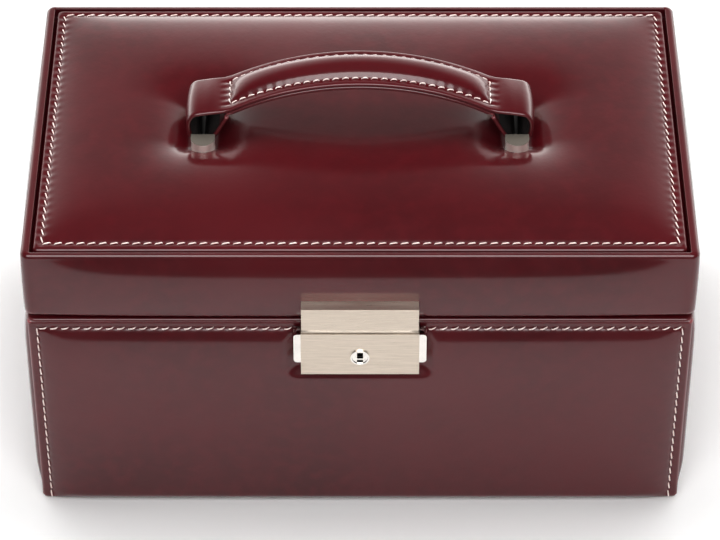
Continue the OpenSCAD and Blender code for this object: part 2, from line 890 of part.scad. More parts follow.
module tray_dividers() {
    half_w = tray_room_w / 2;
    half_d = tray_room_d / 2;
    half_t = partition_t / 2;
    module wall_x(x0, x1, y) {
        box([x0, y - half_t, tray_room_floor], [x1, y + half_t, partition_top]);
    }
    module wall_y(x, y0, y1) {
        box([x - half_t, y0, tray_room_floor], [x + half_t, y1, partition_top]);
    }
    color(suede) {
        wall_y(tray_split_x, -half_d, half_d);
        wall_x(-half_w, tray_split_x, tray_split_y);
        wall_y((tray_split_x - half_w) / 2, tray_split_y, half_d);
        for (y = [-half_d / 3, half_d / 3]) wall_x(tray_split_x, half_w, y);
    }
}

// Soft rolls side by side: a ring sits in the cleft between two of them
module ring_rolls() {
    length = tray_split_x - partition_t / 2 + tray_room_w / 2;
    run = tray_split_y - partition_t / 2 + tray_room_d / 2;
    pitch = run / roll_count;
    color(suede) for (i = [0 : roll_count - 1])
        translate([-tray_room_w / 2 + length / 2, -tray_room_d / 2 + (i + 0.5) * pitch,
                   tray_room_floor + roll_r])
            rotate([0, 90, 0]) cylinder(r = roll_r, h = length - 0.4, center = true);
}

// Leather lifting tabs on the tray's end walls
module tray_pulls() {
    tab_w = 18;
    tab_h = 9;
    tab_t = 1.5;
    tab_r = 4;
    color(leather) for (side = [-1, 1])
        translate([side * (tray_w / 2 - tray_t / 2), 0, tray_top])
            rotate([90, 0, 90]) linear_extrude(tab_t, center = true) union() {
                translate([0, tab_h / 4]) square([tab_w, tab_h / 2], center = true);
                translate([0, tab_h / 2]) rounded_rect(tab_w, tab_h, tab_r);
            }
}

base_core();
base_cover();
side_cover_left();
side_cover_right();
base_rim_binding();
base_lining();
tray_ledges();
divider_long();
dividers_short();
hinge_leaf_base();
hinge_leaf_lid();
hinge_pin();
hinge_screws_base();
hinge_screws_lid();
lock_housing();
lock_back_plate();
lock_screws();
lock_barrel();
lock_plug();
lock_cam();
lock_cam_clip();
lock_button_left();
lock_button_right();
latch_slide_left();
latch_slide_right();
lock_spring_left();
lock_spring_right();
lid_core();
lid_band();
lid_panel_board();
lid_top_panel();
lid_lining();
mirror_frame();
lid_mirror();
lock_hasp();
hasp_screws();
handle_strap();
handle_filler();
handle_pin_left();
handle_pin_right();
handle_post_front_left();
handle_post_front_right();
handle_post_rear_left();
handle_post_rear_right();
handle_washers();
handle_screws();
tray_shell();
tray_lining();
tray_dividers();
ring_rolls();
tray_pulls();
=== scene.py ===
"""Leather jewellery case: leather, thread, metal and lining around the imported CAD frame."""

import math
import random

import bmesh
import bpy
import numpy as np
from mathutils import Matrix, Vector


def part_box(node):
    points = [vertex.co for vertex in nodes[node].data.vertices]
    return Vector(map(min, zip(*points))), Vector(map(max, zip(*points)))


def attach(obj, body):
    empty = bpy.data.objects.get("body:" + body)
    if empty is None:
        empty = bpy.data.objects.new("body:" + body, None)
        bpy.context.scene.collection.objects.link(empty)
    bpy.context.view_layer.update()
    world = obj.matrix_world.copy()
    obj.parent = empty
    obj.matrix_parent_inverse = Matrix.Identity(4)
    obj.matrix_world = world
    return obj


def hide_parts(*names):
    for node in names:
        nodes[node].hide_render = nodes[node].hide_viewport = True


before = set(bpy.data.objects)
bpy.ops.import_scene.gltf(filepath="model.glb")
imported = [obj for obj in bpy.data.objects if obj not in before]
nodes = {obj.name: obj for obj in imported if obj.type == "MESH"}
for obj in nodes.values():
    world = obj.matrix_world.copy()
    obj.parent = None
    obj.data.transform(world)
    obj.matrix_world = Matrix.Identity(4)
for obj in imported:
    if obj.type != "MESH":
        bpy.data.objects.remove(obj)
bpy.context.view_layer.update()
MM = 0.001


def span(node):
    """A node's lowest and highest corner, in millimetres."""
    low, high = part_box(node)
    return np.array(low) / MM, np.array(high) / MM


# ---- Driving sizes, in millimetres, from the frame ----

HALF_W, HALF_D, CORE_TOP = span("base_cover")[1]
BASE_TOP = span("base_rim_binding")[1][2]
LID_LOW, LID_HIGH = (v[2] for v in span("lid_band"))
PANEL_LOW, PANEL_HIGH = span("lid_top_panel")
PANEL_W, PANEL_D = PANEL_HIGH[0], PANEL_HIGH[1]
PAD_FLOOR = PANEL_LOW[2]
CORNER_R = 3.5
STITCH = 4.4
THREAD_R = 0.31
THREAD_LIFT = 0.3
TOP_ROW_INSET = 2.8
FRONT_ROW_INSET = 3.8
FRONT_ROW_DROP = 4.0
PIN_LOW, PIN_HIGH = span("handle_pin_right")
PIN_X, PIN_Z = (PIN_LOW[0] + PIN_HIGH[0]) / 2, (PIN_LOW[2] + PIN_HIGH[2]) / 2
HINGE_Y, HINGE_Z = ((a + b) / 2 for a, b in zip(*(v[1:] for v in span("hinge_pin"))))
LOCK_LOW, LOCK_HIGH = span("lock_housing")


# ---- Meshes ----

def make_piece(name, points, faces):
    """A smooth mesh object from points in millimetres, with its faces turned outward."""
    mesh = bpy.data.meshes.new(name)
    mesh.from_pydata([tuple(float(c) * MM for c in p) for p in points], [], faces)
    bm = bmesh.new()
    bm.from_mesh(mesh)
    bmesh.ops.recalc_face_normals(bm, faces=bm.faces)
    bm.to_mesh(mesh)
    bm.free()
    mesh.shade_smooth()
    piece = bpy.data.objects.new(name, mesh)
    bpy.context.scene.collection.objects.link(piece)
    return piece


def grid_shell(name, outer, inner):
    """A closed skin between two equal grids of points, joined along their borders."""
    rows, cols, _ = outer.shape
    points = np.concatenate([outer.reshape(-1, 3), inner.reshape(-1, 3)])
    back = rows * cols
    faces = []
    for i in range(rows - 1):
        for j in range(cols - 1):
            a, b = i * cols + j, (i + 1) * cols + j
            faces.append((a, a + 1, b + 1, b))
            faces.append((back + a, back + b, back + b + 1, back + a + 1))
    border = list(range(cols))
    border += [i * cols + cols - 1 for i in range(1, rows)]
    border += [(rows - 1) * cols + j for j in range(cols - 2, -1, -1)]
    border += [i * cols for i in range(rows - 2, 0, -1)]
    for a, b in zip(border, border[1:] + border[:1]):
        faces.append((a, back + a, back + b, b))
    return make_piece(name, points, faces)


def loft_faces(count, size, closed=False):
    """Faces over count sections of size points: round a ring, or a bar with capped ends."""
    faces = []
    for i in range(count if closed else count - 1):
        p, q = i * size, ((i + 1) % count) * size
        for k in range(size):
            n = (k + 1) % size
            faces.append((p + k, p + n, q + n, q + k))
    if not closed:
        faces.append(tuple(range(size)))
        faces.append(tuple(range((count - 1) * size, count * size)))
    return faces


def loft(name, sections, closed=False):
    """A skin over equal closed sections."""
    points = np.concatenate([np.asarray(s, float) for s in sections])
    return make_piece(name, points, loft_faces(len(sections), len(sections[0]), closed))


def steps(low, high, size):
    """Even steps from low to high, no longer than size."""
    return np.linspace(low, high, max(2, int(math.ceil((high - low) / size)) + 1))


def fine_lines(low, high, size, features, reach=2.4, fine=0.4):
    """Grid lines from low to high, closer together within reach of each feature."""
    lines = list(steps(low, high, size))
    for f in features:
        lines = [v for v in lines if abs(v - f) > reach or v in (low, high)]
        lines += [v for v in np.arange(f - reach, f + reach + fine / 2, fine) if low < v < high]
    lines = np.array(sorted(lines))
    keep = np.concatenate([[True], np.diff(lines) > fine * 0.45])
    return lines[keep]


def smooth(edge0, edge1, value):
    t = np.clip((value - edge0) / (edge1 - edge0), 0, 1)
    return t * t * (3 - 2 * t)


def swell(distance, reach):
    """How far padding has risen at a distance inside its seam, from 0 to 1."""
    return 1 - np.exp(-np.maximum(distance, 0) / reach)


def seam(distance, along, pitch, depth=0.42, width=0.9, pucker=0.13):
    """Height of the leather near a row of stitches: a groove, with a pucker at each hole."""
    hole = 0.5 + 0.5 * np.cos(2 * math.pi * along / pitch)
    groove = -depth * np.exp(-(distance / width) ** 2) * (0.6 + 0.4 * hole)
    gather = -pucker * (hole - 0.5) * np.exp(-(distance / (2.4 * width)) ** 2)
    return groove + gather


def unroll(a, half, r):
    """Carries a flat coordinate past the edge of a panel round a rolled edge of radius r:
    the place across, and the drop below the face."""
    over = np.clip(np.abs(a) - (half - r), 0, None)
    angle = np.minimum(over / r, math.pi / 2)
    rest = np.maximum(over - r * math.pi / 2, 0)
    place = np.sign(a) * (np.minimum(np.abs(a), half - r) + r * np.sin(angle))
    return place, r * (1 - np.cos(angle)) + rest


# ---- Outlines round the case ----

class Ring:
    """Stations round a rectangle with round corners, usable at any offset from it."""

    def __init__(self, half_w, half_d, radius, step, corner_steps=6):
        self.half = (half_w, half_d)
        self.radius = radius
        self.stations = []
        for side in range(4):
            length = 2 * self.half[side % 2]
            for t in np.linspace(-1, 1, int(length / step) + 1):
                self.stations.append((side, t, None))
            for k in range(1, corner_steps):
                self.stations.append((side, 1, k / corner_steps))

    def place(self, station, offset, least=0.5):
        """The point of a station on the outline grown by offset."""
        side, t, turn = station
        radius = max(self.radius + offset, least)
        run = self.half[side % 2] + offset - radius
        wall = self.half[1 - side % 2] + offset
        along = ((1, 0), (0, 1), (-1, 0), (0, -1))[side]
        out = ((0, -1), (1, 0), (0, 1), (-1, 0))[side]
        if turn is None:
            return along[0] * run * t + out[0] * wall, along[1] * run * t + out[1] * wall
        angle = math.radians(90 * (side - 1 + turn))
        return (along[0] * run + out[0] * (wall - radius) + radius * math.cos(angle),
                along[1] * run + out[1] * (wall - radius) + radius * math.sin(angle))


def ring_piece(name, ring, profile):
    """profile(station) gives the (offset, z) outline of the ring's wall at a station."""
    sections = [[(*ring.place(station, offset), z) for offset, z in profile(station)]
                for station in ring.stations]
    return loft(name, sections, closed=True)


def arc_points(centre, r, start, end, count):
    """Points of an (offset, z) arc, angles in degrees."""
    angles = np.radians(np.linspace(start, end, count))
    return [(centre[0] + r * math.cos(a), centre[1] + r * math.sin(a)) for a in angles]


# ---- Materials ----

class Shader:
    """A Principled material and the few node recipes that the case's materials share."""

    def __init__(self, name, **values):
        self.material = bpy.data.materials.new(name)
        self.material.use_nodes = True
        self.tree = self.material.node_tree
        self.out = self.tree.nodes["Principled BSDF"]
        self.coords = self.tree.nodes.new("ShaderNodeTexCoord").outputs["Object"]
        self.set(**values)

    def set(self, **values):
        for key, value in values.items():
            socket = self.out.inputs[key.replace("_", " ")]
            socket.default_value = (*value, 1) if isinstance(value, tuple) else value

    def node(self, kind, inputs=None, **settings):
        made = self.tree.nodes.new(kind)
        for key, value in settings.items():
            setattr(made, key, value)
        for key, value in (inputs or {}).items():
            if isinstance(value, bpy.types.NodeSocket):
                self.tree.links.new(value, made.inputs[key])
            else:
                made.inputs[key].default_value = value
        return made

    def link(self, source, name):
        self.tree.links.new(source, self.out.inputs[name])

    def stretched(self, scale):
        return self.node("ShaderNodeMapping", {"Vector": self.coords, "Scale": scale}).outputs[0]

    def noise(self, scale, detail=3, vector=None, roughness=0.5):
        return self.node("ShaderNodeTexNoise", {
            "Vector": vector or self.coords, "Scale": scale, "Detail": detail,
            "Roughness": roughness}).outputs["Fac"]

    def cells(self, scale):
        return self.node("ShaderNodeTexVoronoi", {
            "Vector": self.coords, "Scale": scale}).outputs["Distance"]

    def ramp(self, value, low, high, out_low=0.0, out_high=1.0):
        return self.node("ShaderNodeMapRange", {
            "Value": value, "From Min": low, "From Max": high,
            "To Min": out_low, "To Max": out_high}, interpolation_type="SMOOTHSTEP").outputs[0]

    def mix(self, factor, a, b):
        made = self.node("ShaderNodeMix", data_type="RGBA")
        for socket, value in zip((0, 6, 7), (factor, a, b)):
            if isinstance(value, bpy.types.NodeSocket):
                self.tree.links.new(value, made.inputs[socket])
            else:
                made.inputs[socket].default_value = (*value, 1) if socket else value
        return made.outputs[2]

    def bump(self, height, strength, distance, under=None):
        inputs = {"Height": height, "Strength": strength, "Distance": distance}
        if under is not None:
            inputs["Normal"] = under
        return self.node("ShaderNodeBump", inputs).outputs[0]


def leather(name, deep, light, edge_wear_and_highlight, roughness, coat):
    """Smooth dyed leather: cloudy dye, fine pores and creases, and a paler tone on sharp edges
    that is partly edge wear and partly a painted highlight.
    """
    s = Shader(name, Roughness=roughness, Coat_Weight=coat, Coat_Roughness=0.15, Coat_IOR=1.55,
               Specular_IOR_Level=0.14)
    dyed = s.mix(s.ramp(s.noise(14, 4), 0.25, 0.75), deep, light)
    dyed = s.mix(s.ramp(s.noise(160, 3), 0.35, 0.75, 0.0, 0.7), dyed, light)
    # Painted highlight: sharp edges (rims, beads, panel and strap edges) turn to the paler edge
    # tone, which also stands for edge wear.
    sharpness = s.node("ShaderNodeNewGeometry").outputs["Pointiness"]
    wear_and_highlight_mask = s.ramp(sharpness, 0.52, 0.62, 0.0, 0.8)
    s.link(s.mix(wear_and_highlight_mask, dyed, edge_wear_and_highlight), "Base Color")
    s.link(s.ramp(s.noise(90, 3), 0.2, 0.8, roughness - 0.04, roughness + 0.05), "Roughness")
    pores = s.ramp(s.cells(2300), 0.0, 0.5)
    normal = s.bump(pores, 0.12, 0.00006)
    for scale, detail, strength, distance in ((620, 2, 0.45, 0.0001), (260, 3, 0.28, 0.0002),
                                              (60, 2, 0.18, 0.0006)):
        normal = s.bump(s.noise(scale, detail), strength, distance, normal)
    s.link(normal, "Normal")
    return s.material


def fibrous(name, low, high, scale, detail, strength, **values):
    """A matted surface: the strap's inner face, painted near-black as shade inside the loops, or
    raw fibreboard.
    """
    s = Shader(name, **values)
    fibre = s.noise(scale, detail, roughness=0.7)
    s.link(s.mix(s.ramp(fibre, 0.3, 0.7), low, high), "Base Color")
    s.link(s.bump(fibre, strength, 0.0002), "Normal")
    return s.material


def thread():
    """Twisted waxed thread."""
    s = Shader("thread_cream", Roughness=0.55, Sheen_Weight=0.3)
    tone = s.mix(s.ramp(s.noise(500, 2), 0.3, 0.7), (0.80, 0.62, 0.58), (0.95, 0.83, 0.79))
    s.link(tone, "Base Color")
    twist = s.node("ShaderNodeTexWave", {"Vector": s.coords, "Scale": 900.0, "Distortion": 1.5},
                   bands_direction="DIAGONAL").outputs["Fac"]
    s.link(s.bump(twist, 0.4, 0.0001), "Normal")
    return s.material


def brushed(name, low, high, direction, roughness):
    """Metal brushed along X: direction stretches the fine scratches."""
    s = Shader(name, Metallic=1.0, Roughness=roughness, Anisotropic=0.5)
    lines = s.noise(1.0, 4, s.stretched(direction), 0.7)
    s.link(s.mix(s.ramp(lines, 0.3, 0.7), low, high), "Base Color")
    s.link(s.ramp(lines, 0.25, 0.75, roughness - 0.07, roughness + 0.08), "Roughness")
    s.link(s.bump(lines, 0.25, 0.00004), "Normal")
    return s.material


def polished(name, tone, dull, roughness):
    """Plated metal with faint smears."""
    s = Shader(name, Metallic=1.0, Roughness=roughness)
    s.link(s.mix(s.ramp(s.noise(220, 3), 0.2, 0.8, 0.0, 0.6), tone, dull), "Base Color")
    s.link(s.ramp(s.noise(400, 3), 0.2, 0.8, roughness * 0.8, roughness * 1.35), "Roughness")
    return s.material


def suede(name, low, high):
    """Brushed cloth: short nap with soft shading where it lies over."""
    s = Shader(name, Roughness=0.95, Sheen_Weight=0.6, Sheen_Roughness=0.5,
               Specular_IOR_Level=0.15)
    lie = s.noise(45, 4, roughness=0.6)
    nap = s.noise(1500, 3, roughness=0.7)
    s.link(s.mix(s.ramp(lie, 0.35, 0.65), low, high), "Base Color")
    s.link(s.bump(nap, 0.5, 0.00015), "Normal")
    return s.material


def turned():
    """Nickel turned on a lathe, bright round the sides, with painted shade: its colour goes dark
    grey on faces turned upward.
    """
    s = Shader("turned_nickel", Metallic=0.6, Roughness=0.2)
    rings = s.noise(1.0, 2, s.stretched((40, 40, 4200)), 0.6)
    facing = s.node("ShaderNodeTexCoord").outputs["Normal"]
    upward_for_shade = s.node("ShaderNodeSeparateXYZ", {"Vector": facing}).outputs["Z"]
    side = s.mix(s.ramp(s.noise(300, 3), 0.2, 0.8), (0.97, 0.92, 0.86), (0.88, 0.83, 0.77))
    # Painted shade: faces turned upward take a dark grey colour in place of the bright nickel.
    s.link(s.mix(s.ramp(upward_for_shade, 0.75, 0.95), side, (0.36, 0.32, 0.275)), "Base Color")
    fine = s.bump(s.noise(5200, 2), 0.25, 0.00003)
    s.link(s.bump(rings, 0.8, 0.00012, fine), "Normal")
    return s.material


def plug_metal():
    """Polished nickel, painted near-black down in the keyway as its shade."""
    s = Shader("plug_nickel", Metallic=1.0, Roughness=0.14)
    place = s.node("ShaderNodeSeparateXYZ", {"Vector": s.coords}).outputs["Y"]
    front = span("lock_plug")[0][1] * MM
    # Painted shade: deeper than about a millimetre into the keyway the colour turns near-black.
    depth = s.ramp(place, front + 0.0004, front + 0.0014)
    face = s.mix(s.ramp(s.noise(700, 3), 0.4, 0.7), (0.80, 0.77, 0.73), (0.66, 0.63, 0.60))
    s.link(s.mix(depth, face, (0.008, 0.007, 0.006)), "Base Color")
    s.link(s.ramp(depth, 0.0, 1.0, 0.12, 0.6), "Roughness")
    return s.material


def silvered():
    s = Shader("silvered_glass", Metallic=1.0, Roughness=0.03, Coat_Weight=1.0,
               Coat_Roughness=0.02)
    haze = s.ramp(s.noise(30, 3), 0.4, 0.8)
    s.link(s.mix(haze, (0.90, 0.92, 0.92), (0.84, 0.86, 0.87)), "Base Color")
    s.link(s.ramp(s.noise(120, 3), 0.4, 0.9, 0.02, 0.07), "Roughness")
    return s.material


BURGUNDY = dict(deep=(0.060, 0.0022, 0.0050), light=(0.092, 0.0040, 0.0080))
# Paler edge tone: partly edge wear, partly a painted highlight along the leather's sharp edges.
EDGE_WEAR_AND_HIGHLIGHT = (0.40, 0.12, 0.13)
LEATHER = leather("burgundy_leather", roughness=0.42, coat=0.9, edge_wear_and_highlight=EDGE_WEAR_AND_HIGHLIGHT, **BURGUNDY)
STRAP_LEATHER = leather("burgundy_strap_leather", roughness=0.38, coat=1.0, edge_wear_and_highlight=EDGE_WEAR_AND_HIGHLIGHT,
                        **BURGUNDY)
# Near-black inner face of the loops: painted shade for their dark insides.
FLESH_SIDE_SHADE = fibrous("strap_flesh_side_shade", (0.006, 0.003, 0.003), (0.020, 0.010, 0.009), 900, 4,
                     0.5, Roughness=0.85, Specular_IOR_Level=0.2)
TRAY_LEATHER = leather("burgundy_tray_leather", roughness=0.45, coat=0.2,
                       edge_wear_and_highlight=(0.13, 0.016, 0.018), **BURGUNDY)
THREAD = thread()
NICKEL = brushed("brushed_nickel", (0.52, 0.455, 0.39), (0.66, 0.585, 0.505),
                 (90, 5200, 5200), 0.33)
CHROME = polished("polished_nickel", (0.80, 0.77, 0.73), (0.66, 0.63, 0.60), 0.10)
TURNED = turned()
# Handle pins: near-black, partly a blackened steel finish and partly painted shade for the dark
# inside of the loops.
BLACKENED_FOR_SHADE = polished("blackened_steel_for_shade", (0.045, 0.043, 0.042), (0.025, 0.024, 0.024), 0.35)
PLUG = plug_metal()
STEEL = polished("bright_steel", (0.62, 0.62, 0.63), (0.45, 0.45, 0.46), 0.22)
BRASS = polished("satin_brass", (0.70, 0.55, 0.30), (0.52, 0.39, 0.20), 0.28)
SUEDE = suede("cream_suede", (0.56, 0.46, 0.34), (0.72, 0.62, 0.49))
ROLL_SUEDE = suede("cream_roll_suede", (0.60, 0.50, 0.38), (0.76, 0.67, 0.54))
BOARD = fibrous("raw_fibreboard", (0.34, 0.24, 0.15), (0.56, 0.43, 0.29), 700, 5, 0.4,
                Roughness=0.9)
GLASS = silvered()


def finish_piece(piece, material, body, replaces=()):
    """Gives a new piece its material, slot, body and the CAD nodes that it stands for."""
    piece.data.materials.append(material)
    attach(piece, body)
    if replaces:
        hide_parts(*replaces)
    return piece


# ---- Stitching ----

def stitch_row(path, normal, stitches, slant=0.10, fill=0.74):
    """Points and faces of one row of stitches. path(s) and normal(s) give the seam at a
    length s along it; stitches lists the (centre, half length) of each one's share of it."""
    points, faces = [], []
    rings, sides = 7, 8
    for centre, half in stitches:
        base = len(points)
        for i in range(rings):
            t = -1 + 2 * i / (rings - 1)
            s = centre + half * fill * t
            here, up = np.array(path(s)), np.array(normal(s))
            ahead = np.array(path(s + 0.05)) - np.array(path(s - 0.05))
            ahead /= np.linalg.norm(ahead)
            across = np.cross(up, ahead)
            lift = THREAD_R * (0.75 - 1.5 * abs(t) ** 4)
            radius = THREAD_R * (1 - 0.55 * abs(t) ** 5)
            middle = here + up * lift + across * slant * half * t
            for k in range(sides):
                a = 2 * math.pi * k / sides
                points.append(middle + radius * (math.cos(a) * across + math.sin(a) * up))
        faces += [tuple(base + i for i in face) for face in loft_faces(rings, sides)]
    return points, faces


def even_stitches(start, end, pitch):
    """Centres and half lengths of whole stitches from start to end."""
    count = max(1, round((end - start) / pitch))
    half = (end - start) / count / 2
    return [(start + half * (2 * i + 1), half) for i in range(count)]


def stitching(name, rows, body):
    """One piece of several rows of stitches."""
    points, faces = [], []
    for row_points, row_faces in rows:
        base = len(points)
        points += row_points
        faces += [tuple(base + i for i in f) for f in row_faces]
    finish_piece(make_piece(name, points, faces), THREAD, body)


# ---- Top panel of the lid ----

ROW_X = PANEL_W - TOP_ROW_INSET
ROW_Y = PANEL_D - TOP_ROW_INSET - 0.3
FLANGE_Z = LID_HIGH + 0.1
CROWN = 3.7
CROWN_REACH = 9.0
DOME = 1.9
DIMPLE_FLOOR = PAD_FLOOR + 1.35
DIMPLE_X, DIMPLE_Y = 6.5, 11.5
DIMPLE_REACH = 9.5
BOARD_LOW = span("lid_panel_board")[0][2]
SKIN_T = 0.6


def top_height(x, y):
    """Height of the padded top panel's leather."""
    dx, dy = ROW_X - np.abs(x), ROW_Y - np.abs(y)
    inside = np.minimum(dx, dy)
    crown = CROWN * swell(dx, CROWN_REACH) * swell(dy, CROWN_REACH)
    crown = crown + DOME * np.clip((1 - (x / ROW_X) ** 2) * (1 - (y / ROW_Y) ** 2), 0, None)
    outside = np.clip(-inside, 0, None)
    flange = -0.10 * (outside / TOP_ROW_INSET) ** 2
    z = FLANGE_Z + crown + flange
    z = z + np.where(np.abs(y) < ROW_Y + 1.5, seam(dx, y, STITCH, pucker=0.34), 0)
    z = z + np.where(np.abs(x) < ROW_X + 1.5, seam(dy, x, STITCH), 0)
    for side in (-1, 1):
        out_x = np.maximum(np.abs(x - side * (PIN_X + 0.2)) - DIMPLE_X, 0)
        out_y = np.maximum(np.abs(y) - DIMPLE_Y, 0)
        pull = np.exp(-(np.hypot(out_x, out_y) / DIMPLE_REACH) ** 1.15)
        z = z - (z - DIMPLE_FLOOR) * pull
    return z


def build_top_panel():
    r = 1.3
    half_w, half_d = PANEL_W + SKIN_T, PANEL_D + SKIN_T
    skirt = r * math.pi / 2 - r + FLANGE_Z - r - BOARD_LOW - 0.15
    lines = []
    for half, row in ((half_w, ROW_X), (half_d, ROW_Y)):
        edge = half - r / 2
        lines.append(fine_lines(-half - skirt, half + skirt, 0.95, (-edge, -row, row, edge)))
    gx, gy = np.meshgrid(*lines)
    px, drop_x = unroll(gx, half_w, r)
    py, drop_y = unroll(gy, half_d, r)
    z = top_height(px, py) - np.maximum(drop_x, drop_y)
    outer = np.stack([px, py, z], axis=-1)
    outer = round_corners(outer, half_w, half_d, 2.2)
    inner = outer.copy()
    inner[..., 0] = np.clip(outer[..., 0], -PANEL_W - 0.03, PANEL_W + 0.03)
    inner[..., 1] = np.clip(outer[..., 1], -PANEL_D - 0.03, PANEL_D + 0.03)
    inner[..., 2] = np.minimum(PAD_FLOOR + 0.05, z - 0.02)
    piece = grid_shell("lid_top_pad", outer, inner)
    finish_piece(piece, LEATHER, "lid", ["lid_top_panel"])

    seams = [((-ROW_X, y), (ROW_X, y), 0.16) for y in (-ROW_Y, ROW_Y)]
    seams += [((x, -ROW_Y), (x, ROW_Y), 0.24) for x in (-ROW_X, ROW_X)]
    rows = []
    for start, end, slant in seams:
        path, length = top_seam(start, end)
        rows.append(stitch_row(path, lambda s: (0, 0, 1), even_stitches(0, length, STITCH),
                               slant))
    stitching("lid_top_stitches", rows, "lid")


def top_seam(start, end):
    """A straight seam on the top panel's leather: its path and its length."""
    start, end = np.array(start, float), np.array(end, float)
    length = np.linalg.norm(end - start)

    def path(s):
        x, y = start + (end - start) * s / length
        return np.array([x, y, float(top_height(x, y)) + THREAD_LIFT])
    return path, length


def round_corners(points, half_w, half_d, r):
    """Pulls a square outline's corners in to round ones of radius r."""
    place = points[..., :2]
    centre = np.array([half_w - r, half_d - r])
    past = np.abs(place) - centre
    corner = (past > 0).all(axis=-1, keepdims=True)
    reach = np.maximum(np.linalg.norm(past, axis=-1, keepdims=True), 1e-9)
    scale = past.max(axis=-1, keepdims=True) / reach
    pulled = np.where(corner, np.sign(place) * (centre + past * scale), place)
    return np.concatenate([pulled, points[..., 2:]], axis=-1)


build_top_panel()


# ---- Leather band of the lid ----

RIM_W = 3.0
HINGE_BEVEL = 50  # degrees
HINGE_HALF = span("hinge_pin")[1][0] + 0.6
OUTLINE = Ring(HALF_W, HALF_D, CORNER_R, 2.0, corner_steps=8)


def band_face(station, v):
    """How far the padded band stands out of its outline, v from 0 below to 1 above."""
    side, t, turn = station
    end = 0.0 if turn is not None else (1 - abs(t)) * OUTLINE.half[side % 2]
    rim = (-0.7, 0.6, -0.7, 0.6)
    stand = rim[side] + (rim[(side + 1) % 4] - rim[side]) * (turn or 0.0)
    fullness = (2.6, 1.7, 0.9, 1.7)[side]
    puff = 0.3 + fullness * float(swell(end, 22.0))
    above = max(0.0, (v - 0.5) / 0.5)
    below = max(0.0, (0.5 - v) / 0.5)
    return stand + puff * (1 - above ** 2.3) * (1 - 0.55 * below ** 2.2)


def clear_hinge(station, points, up):
    """Keeps points out of the wedge that the bevelled rear edges close as the lid opens:
    up is true for the lid's leather and false for the base's."""
    slope = math.tan(math.radians(HINGE_BEVEL))
    cleared = []
    for offset, z in points:
        y = OUTLINE.place(station, offset)[1]
        reach = max(0.0, y - HINGE_Y) * slope
        z = max(z, HINGE_Z + reach) if up else min(z, HINGE_Z - reach)
        cleared.append((offset, z))
    return cleared


def band_profile(station):
    """The band's outline: under the lid's edge, up its face, over the rim, down the groove."""
    side, t, turn = station
    rear = side == 2
    low, high = LID_LOW, LID_HIGH
    inner = -RIM_W
    points = [(-5.9, low + 0.75), (-5.95, low + 0.3), (-5.5, low + 0.02)]
    x = abs(t) * (HALF_W - CORNER_R) if turn is None else HALF_W
    if rear and x < HINGE_HALF:
        points += [(-4.7, low + 0.02), (-4.5, low + 0.9), (-3.2, low + 1.35), (-2.0, low + 1.30),
                   (-1.55, low + 1.45)]
    elif rear:
        points += [(offset, low + 0.02) for offset in (-4.7, -4.0, -3.0, -2.2)]
        points += [(-1.7, low + 0.08)]
    else:
        points += [(offset, low + 0.02) for offset in (-4.2, -3.4, -2.6)]
        points += [(-1.6, low + 0.06), (-0.8, low + 0.2)]
    face_low = low + (2.5 if rear else 0.75)
    rim_r = 1.9
    face_high = high - rim_r
    for v in np.linspace(0, 1, 26):
        z = face_low + (face_high - face_low) * v
        points.append((band_face(station, (z - low) / (face_high - low)), z))
    top = points[-1][0]
    points += arc_points((top - rim_r, high - rim_r), rim_r, 12, 85, 8)
    points += [(-2.3, high + 0.03)]
    points += arc_points((inner + 0.5, high - 0.5), 0.5, 85, 180, 6)
    floor = BOARD_LOW + 0.2
    points += [(inner, high - 2.5), (inner, floor + 0.05), (inner - 1.0, floor),
               (inner - 1.0, floor - 0.15), (-1.9, floor - 0.15), (-1.9, low + 0.8)]
    return clear_hinge(station, points, True)


def build_band():
    piece = ring_piece("lid_leather_band", OUTLINE, band_profile)
    finish_piece(piece, LEATHER, "lid", ["lid_band"])


build_band()


# ---- Leather of the base: front, underside and back in one strip ----

STRIP_R = 1.2
FRONT_ROW_X = HALF_W - FRONT_ROW_INSET
FRONT_ROW_Z = CORE_TOP - FRONT_ROW_DROP
BEND_R = 3.0
SETBACK = 0.75
STRIP_PAD = 3.4


def strip_path(s):
    """The strip's line from the front's top edge, under the case and up the back, with its
    outward normal: s is the length along it."""
    if s > STRIP_LENGTH / 2:
        (y, z), (ny, nz) = strip_path(STRIP_LENGTH - s)
        return (-y, z), (-ny, nz)
    past = s - (CORE_TOP - BEND_R)
    if past <= 0:
        return (-HALF_D, CORE_TOP - s), (-1.0, 0.0)
    a = past / BEND_R
    if a > math.pi / 2:
        return (-HALF_D + BEND_R + past - BEND_R * math.pi / 2, 0.0), (0.0, -1.0)
    return ((-HALF_D + BEND_R - BEND_R * math.cos(a), BEND_R - BEND_R * math.sin(a)),
            (-math.cos(a), -math.sin(a)))


STRIP_LENGTH = 2 * (CORE_TOP - BEND_R) + 2 * (HALF_D - BEND_R) + BEND_R * math.pi


def near_lock(x, z):
    """1 well away from the lock, falling to 0 where it presses on the leather."""
    out_x = np.maximum(np.abs(x) - (LOCK_HIGH[0] + 1.0), 0)
    out_z = np.maximum(LOCK_LOW[2] - 0.5 - z, 0)
    return smooth(0.0, 7.0, np.hypot(out_x, out_z))


def strip_height(x, y, z):
    """How far the strip's leather stands off its path at a point of the path."""
    wall = smooth(0.0, 6.0, z)
    dx = FRONT_ROW_X - np.abs(x)
    dz = FRONT_ROW_Z - z
    free = near_lock(x, z) if y < 0 else 1.0
    rise = STRIP_PAD * swell(dx, 4.5) * swell(dz, 7.0) * (0.2 + 0.8 * free)
    crown = 0.4 * (1 - (x / FRONT_ROW_X) ** 2) * swell(dz, 14) * free
    height = -SETBACK + rise + crown
    rows = seam(dx, z, STITCH) * (z < FRONT_ROW_Z + 1.5)
    rows = rows + seam(dz, x, STITCH, pucker=0.2) * (np.abs(x) < FRONT_ROW_X + 1.5)
    return (height + rows) * wall


